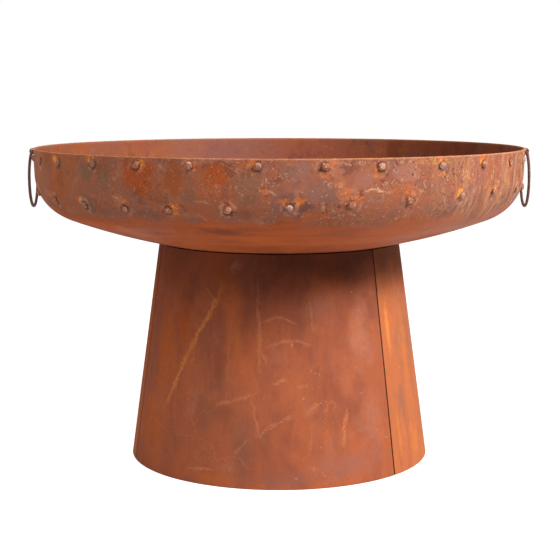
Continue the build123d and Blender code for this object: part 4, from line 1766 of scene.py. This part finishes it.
            away = places - np.array(middle)
            far = np.linalg.norm(away, axis=1)
            round_about = away @ np.array((-normal.y, normal.x, 0.0)) / math.hypot(normal.x, normal.y)
            up = away[:, 2]
            spread = ((round_about - drift) / wide) ** 2 + ((up - lift) / tall) ** 2
            stain = np.maximum(stain, strength * np.exp(-spread))
            collar = np.maximum(collar, pressed * np.exp(-(((far - ring) / traces.collar_width) ** 2)))
            # the dark foot is painted shadow, partly crevice rust, leaned to the lower left
            inside = self.rivets.radius + traces.foot_shadow_reach - far - traces.foot_shadow_lean * (round_about + up)
            foot = np.maximum(foot, np.clip(inside / traces.foot_shadow_fade, 0.0, 1.0))
        for name, values in (("stain", stain), ("collar", collar), ("foot", foot)):
            skin.data.attributes.new(name, "FLOAT", "POINT").data.foreach_set("value", values)

    def _heads(self, node: str, rivets: Sequence[tuple[Vector, Vector]], draw: random.Random,
               material: bpy.types.Material) -> None:
        """Set a head at every rivet of a row.

        Args:
            node: The row's solids.
            rivets: Foot and normal of each rivet.
            draw: The source of their small differences.
            material: Their finish.
        """
        models = self.rivets.models(node)
        heads = []
        for foot, normal in rivets:
            place = Matrix.Translation(foot) @ normal.to_track_quat("X", "Z").to_matrix().to_4x4()
            spin = (Matrix.Rotation(draw.uniform(-self.tilt, self.tilt), 4, "Y")
                    @ Matrix.Rotation(draw.uniform(-self.tilt, self.tilt), 4, "Z")
                    @ Matrix.Rotation(draw.uniform(0.0, 2 * math.pi), 4, "X"))
            sizes = [draw.uniform(*span) for span in (self.flattened, self.narrowed, self.narrowed)]
            shape = Matrix.Diagonal((*sizes, 1.0))
            heads.append(copy_at(draw.choice(models), place @ spin @ shape))
        remove(*models)
        piece = join(heads, f"{node}_hammered")
        smooth(piece, 50.0)
        piece.data.materials.append(material)
        enter(piece, Body.BOWL, Slot.RIVET, node)


# ------------------------------------------------------------------ ring handles


@dataclass
class RingHandle:
    """A hand-bent ring with the weld that closes it.

    The swells hold a reach in radii of the rod and a share by which the rod grows within it.
    """

    side: str
    body: Body
    segments: int = 120
    rod_sides: int = 16
    weld_angle: float = math.radians(205.0)
    weld_swells: tuple[tuple[float, float], ...] = ((1.7, 0.16), (1.2, 0.096))
    unevenness: float = 0.35 * MM
    unevenness_size: float = 0.012
    unevenness_level: float = 0.9

    def build(self, finishes: Finishes) -> None:
        """Build the ring in place of its solid.

        Args:
            finishes: The materials.
        """
        node = f"ring_handle_{self.side}"
        low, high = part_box(node)
        middle = (low + high) / 2
        joint = next(joint for joint in frame["joints"] if joint["child"] == self.body.value)
        outward = turned_to(azimuth_of(Vector(joint["pos_m"])))
        radius = joint["pos_m"][2] - middle.z
        rod_radius = (high.z - low.z) / 2 - radius
        bpy.ops.mesh.primitive_torus_add(major_radius=radius, minor_radius=rod_radius,
                                         major_segments=self.segments, minor_segments=self.rod_sides)
        ring = join([bpy.context.object], f"forged_{node}")
        self._close_with_weld(ring, radius, rod_radius)
        place = Matrix.Translation(middle) @ outward @ Matrix.Rotation(math.pi / 2, 4, "Y")
        settle(ring, place)
        smooth(ring, 60.0)
        ring.data.materials.append(finishes.iron)
        enter(ring, self.body, Slot.IRON, node)

    def _close_with_weld(self, ring: bpy.types.Object, radius: float, rod_radius: float) -> None:
        """Swell the rod at the weld and make the rest slightly uneven, as hot-bent bar is.

        Args:
            ring: The ring, flat round the origin.
            radius: To the middle of its rod.
            rod_radius: The rod's own.
        """
        texture = noise_texture(f"{ring.name}_forging", self.unevenness_size, 1)
        apply_modifier(ring, "DISPLACE", texture=texture, texture_coords="LOCAL", strength=self.unevenness,
                       mid_level=self.unevenness_level)
        at_weld = Matrix.Rotation(self.weld_angle, 3, "Z") @ Vector((radius, 0.0, 0.0))
        for reach, swell in self.weld_swells:
            select_vertices(ring, lambda place: (place - at_weld).length < reach * rod_radius)
            share = 1.0 + swell
            with editing(ring):
                bpy.ops.transform.resize(value=(share, share, share), center_override=at_weld)


# ------------------------------------------------------------------ grate


@dataclass
class WeldBead:
    """A small lump of weld metal, wider than high."""

    size: float = 3.4 * MM
    shape: tuple[float, float, float] = (1.3, 0.9, 0.75)
    rings: int = 6
    segments: int = 10
    lumps: float = 1.0 * MM
    lump_size: float = 0.3
    lump_level: float = 0.6
    sizes: Span = (0.8, 1.1)
    seed: int = 9

    def model(self) -> bpy.types.Object:
        """One bead round the origin: a ball pressed flat, stretched along X and made lumpy.

        Returns:
            The model to copy.
        """
        bpy.ops.mesh.primitive_uv_sphere_add(segments=self.segments, ring_count=self.rings,
                                             radius=self.size)
        bead = bpy.context.object
        bead.name = "weld_bead"
        settle(bead)
        with editing(bead):
            bpy.ops.mesh.select_all(action="SELECT")
            bpy.ops.transform.resize(value=self.shape, center_override=(0.0, 0.0, 0.0))
        dent(bead, noise_texture("weld_lumps", self.lump_size), self.lumps, self.lump_level)
        return bead

    def run(self, places: Sequence[Vector], name: str, body: Body, slot: Slot,
            finish: bpy.types.Material) -> None:
        """Set a bead, turned at random, at each place, as one piece.

        Args:
            places: Where the beads go.
            name: The piece's name.
            body: The body that it rides on.
            slot: Its material slot.
            finish: Its material.
        """
        model = self.model()
        draw = random.Random(self.seed)
        beads = []
        for place in places:
            size = Matrix.Scale(draw.uniform(*self.sizes), 4)
            turn = Matrix.Rotation(draw.uniform(0.0, 2 * math.pi), 4, "Z")
            beads.append(copy_at(model, Matrix.Translation(place) @ turn @ size))
        remove(model)
        piece = join(beads, name)
        smooth(piece, 60.0)
        piece.data.materials.append(finish)
        enter(piece, body, slot)


@dataclass
class Grate:
    """The lift-out grate: hoop, bars, cross bars and lifting loops, with the welds that join them.

    On the hoop a bead lies inwards of the rod's middle by a share of the bar, and up by a share of the
    rod. On a cross bar it is sunk a little below the top.
    """

    rod: float = 4.0 * MM
    bar: float = 3.0 * MM
    bead_inward: float = 0.3
    bead_up: float = 0.85
    bead_sunk: float = 0.4 * MM
    weld: WeldBead = field(default_factory=WeldBead)

    def build(self, finishes: Finishes) -> None:
        """Dress the solids and add the welds.

        Args:
            finishes: The materials.
        """
        for node in ("grate_hoop", "grate_bars", "grate_cross_bar_front", "grate_cross_bar_back",
                     "grate_loop_left", "grate_loop_right"):
            dress(node, finishes.grate)
        self.weld.run(self._weld_places(), "grate_welds", Body.GRATE, Slot.GRATE, finishes.weld)

    def _weld_places(self) -> list[Vector]:
        """Both sides of every bar where it meets the hoop or a cross bar.

        Returns:
            The beads' places.
        """
        low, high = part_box("grate_hoop")
        hoop_radius = (high.x - low.x) / 2 - self.rod
        bead_z = (low.z + high.z) / 2 + self.rod * self.bead_up
        places = []
        for x in self._bar_middles():
            reach = math.sqrt(hoop_radius**2 - x**2)
            rows = [(way * (reach - self.bar * self.bead_inward), bead_z) for way in (-1.0, 1.0)]
            for node in ("grate_cross_bar_front", "grate_cross_bar_back"):
                low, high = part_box(node)
                if abs(x) < high.x - self.bar:
                    rows.append(((low.y + high.y) / 2, high.z - self.bead_sunk))
            places += [Vector((x + side * self.bar, y, z)) for y, z in rows for side in (-1.0, 1.0)]
        return places

    def _bar_middles(self) -> list[float]:
        """The middle of each bar across, to the millimetre.

        Returns:
            The middles from left to right.
        """
        across = np.sort([vertex.co.x for vertex in frame["nodes"]["grate_bars"].data.vertices])
        breaks = np.flatnonzero(np.diff(across) > self.bar) + 1
        middles = {round(float(part.min() + part.max()) / 2, 3) for part in np.split(across, breaks)}
        return sorted(middles)


# ------------------------------------------------------------------ base


@dataclass
class Base:
    """The cone base: three panels, the seat ring inside its mouth and the seam fasteners."""

    def build(self, finishes: Finishes) -> None:
        """Dress the solids.

        Args:
            finishes: The materials.
        """
        for node, finish in finishes.panels.items():
            dress(node, finish)
        dress("seat_ring", finishes.bar)
        for node in ("seam_bolts", "seam_nuts", "seam_washers"):
            dress(node, finishes.steel)


# ------------------------------------------------------------------ pieces and stage


def enter(piece: bpy.types.Object, body: Body, slot: Slot, *nodes: str) -> None:
    """Enter a new piece: what it rides on and which solids it stands for.

    Args:
        piece: The finished piece.
        body: The body that it rides on.
        slot: Its material slot; not used.
        *nodes: The solids that it replaces.
    """
    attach(piece, body.value)
    if nodes:
        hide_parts(*nodes)
    LOG.info("%s: %d faces on %s", piece.name, len(piece.data.polygons), body.value)


def dress(node: str, finish: bpy.types.Material) -> None:
    """Give a solid that stays its finish.

    Args:
        node: The solid's name.
        finish: Its material.
    """
    mesh = frame["nodes"][node].data
    mesh.materials.clear()
    mesh.materials.append(finish)
    LOG.info("%s: dressed in %s", node, finish.name)


@dataclass(frozen=True)
class Lamp:
    """A round soft lamp that faces the fire pit: angles in degrees, power in watts."""

    name: str
    azimuth: float
    elevation: float
    power: float
    size: float
    distance: float = 3.2
    aim_height: float = 0.3

    def hang(self) -> None:
        """Add the lamp, turned to a point on the axis."""
        azimuth, elevation = math.radians(self.azimuth), math.radians(self.elevation)
        flat = math.cos(elevation)
        way = Vector((math.sin(azimuth) * flat, -math.cos(azimuth) * flat, math.sin(elevation)))
        aim = Vector((0.0, 0.0, self.aim_height))
        bpy.ops.object.light_add(type="AREA", location=way * self.distance + aim)
        lamp = bpy.context.object
        lamp.name = self.name
        lamp.rotation_euler = way.to_track_quat("Z", "Y").to_euler()
        lamp.data.shape = "DISK"
        lamp.data.size = self.size
        lamp.data.energy = self.power


@dataclass
class Stage:
    """Floor, lamps and camera.

    Seen directly, the floor glows white over a grey that keeps the shadow. Within the hidden radius, under
    the base, it doesn't glow.
    """

    floor_size: float = 14.0
    floor_glow: float = 0.95
    floor_bounce: float = 0.7
    floor_shade: float = 0.4
    floor_hidden: float = 0.2465
    sky: float = 0.16
    eye: Vector = field(default_factory=lambda: Vector((0.0, -2.187, 0.601)))
    eye_pitch: float = math.radians(8.16)
    eye_yaw: float = math.radians(-0.035)
    lens: float = 84.8
    lamps: tuple[Lamp, ...] = (
        Lamp("key_lamp", azimuth=60.0, elevation=35.0, power=125.0, size=1.0),
        Lamp("fill_lamp", azimuth=-30.0, elevation=46.0, power=48.0, size=1.6),
    )

    def build(self) -> None:
        """Set the scene up."""
        self._floor()
        self._world()
        for lamp in self.lamps:
            lamp.hang()
        self._camera()
        bpy.context.scene.view_settings.view_transform = "Standard"

    def _seen_directly(self, sheet: Sheet) -> bpy.types.NodeSocket:
        """1 where a ray comes from the camera or from a glossy surface."""
        path = sheet.put("ShaderNodeLightPath").outputs
        return sheet.math("MAXIMUM", path["Is Camera Ray"], path["Is Glossy Ray"])

    def _floor(self) -> None:
        """A pale floor that looks white, keeps the fire pit's shadow and is dark under the base."""
        bpy.ops.mesh.primitive_plane_add(size=self.floor_size)
        floor = join([bpy.context.object], "floor")
        material = bpy.data.materials.new("floor_white")
        material.use_nodes = True
        sheet = Sheet(material.node_tree)
        nodes = material.node_tree.nodes
        nodes.remove(nodes["Principled BSDF"])
        outside = sheet.math("GREATER_THAN", sheet.length(sheet.place()), self.floor_hidden)
        seen = sheet.times(self._seen_directly(sheet), outside)
        grey = sheet.fade(seen, 0.0, 1.0, self.floor_bounce, self.floor_shade)
        matt = sheet.put("ShaderNodeBsdfDiffuse", {"Color": grey})
        white = sheet.put("ShaderNodeEmission", {"Strength": sheet.times(seen, self.floor_glow)})
        both = sheet.put("ShaderNodeAddShader", {0: matt.outputs[0], 1: white.outputs[0]})
        sheet.feed(nodes["Material Output"].inputs["Surface"], both.outputs[0])
        floor.data.materials.append(material)

    def _world(self) -> None:
        """Even light from all round, white where it is seen."""
        world = bpy.data.worlds.new("studio")
        world.use_nodes = True
        sheet = Sheet(world.node_tree)
        background = world.node_tree.nodes["Background"]
        background.inputs["Color"].default_value = (1.0, 1.0, 1.0, 1.0)
        strength = sheet.fade(self._seen_directly(sheet), 0.0, 1.0, self.sky, 1.0)
        sheet.feed(background.inputs["Strength"], strength)
        bpy.context.scene.world = world

    def _camera(self) -> None:
        """A long lens in front at a little over half a metre, looking slightly down."""
        turn = Matrix.Rotation(self.eye_yaw, 3, "Z") @ Matrix.Rotation(math.pi / 2 - self.eye_pitch, 3, "X")
        bpy.ops.object.camera_add(location=self.eye, rotation=turn.to_euler())
        camera = bpy.context.object
        camera.name = "camera"
        camera.data.lens = self.lens
        bpy.context.scene.camera = camera


def main() -> None:
    """Build and dress the fire pit, then set the stage."""
    logging.basicConfig(level=logging.INFO, format="%(name)s: %(message)s")
    deselect_all()
    finishes = Finishes(Effects())
    Base().build(finishes)
    Bowl().build(finishes)
    Grate().build(finishes)
    RingHandle("left", Body.RING_LEFT).build(finishes)
    RingHandle("right", Body.RING_RIGHT).build(finishes)
    Stage().build()


if __name__ == "__main__":
    main()
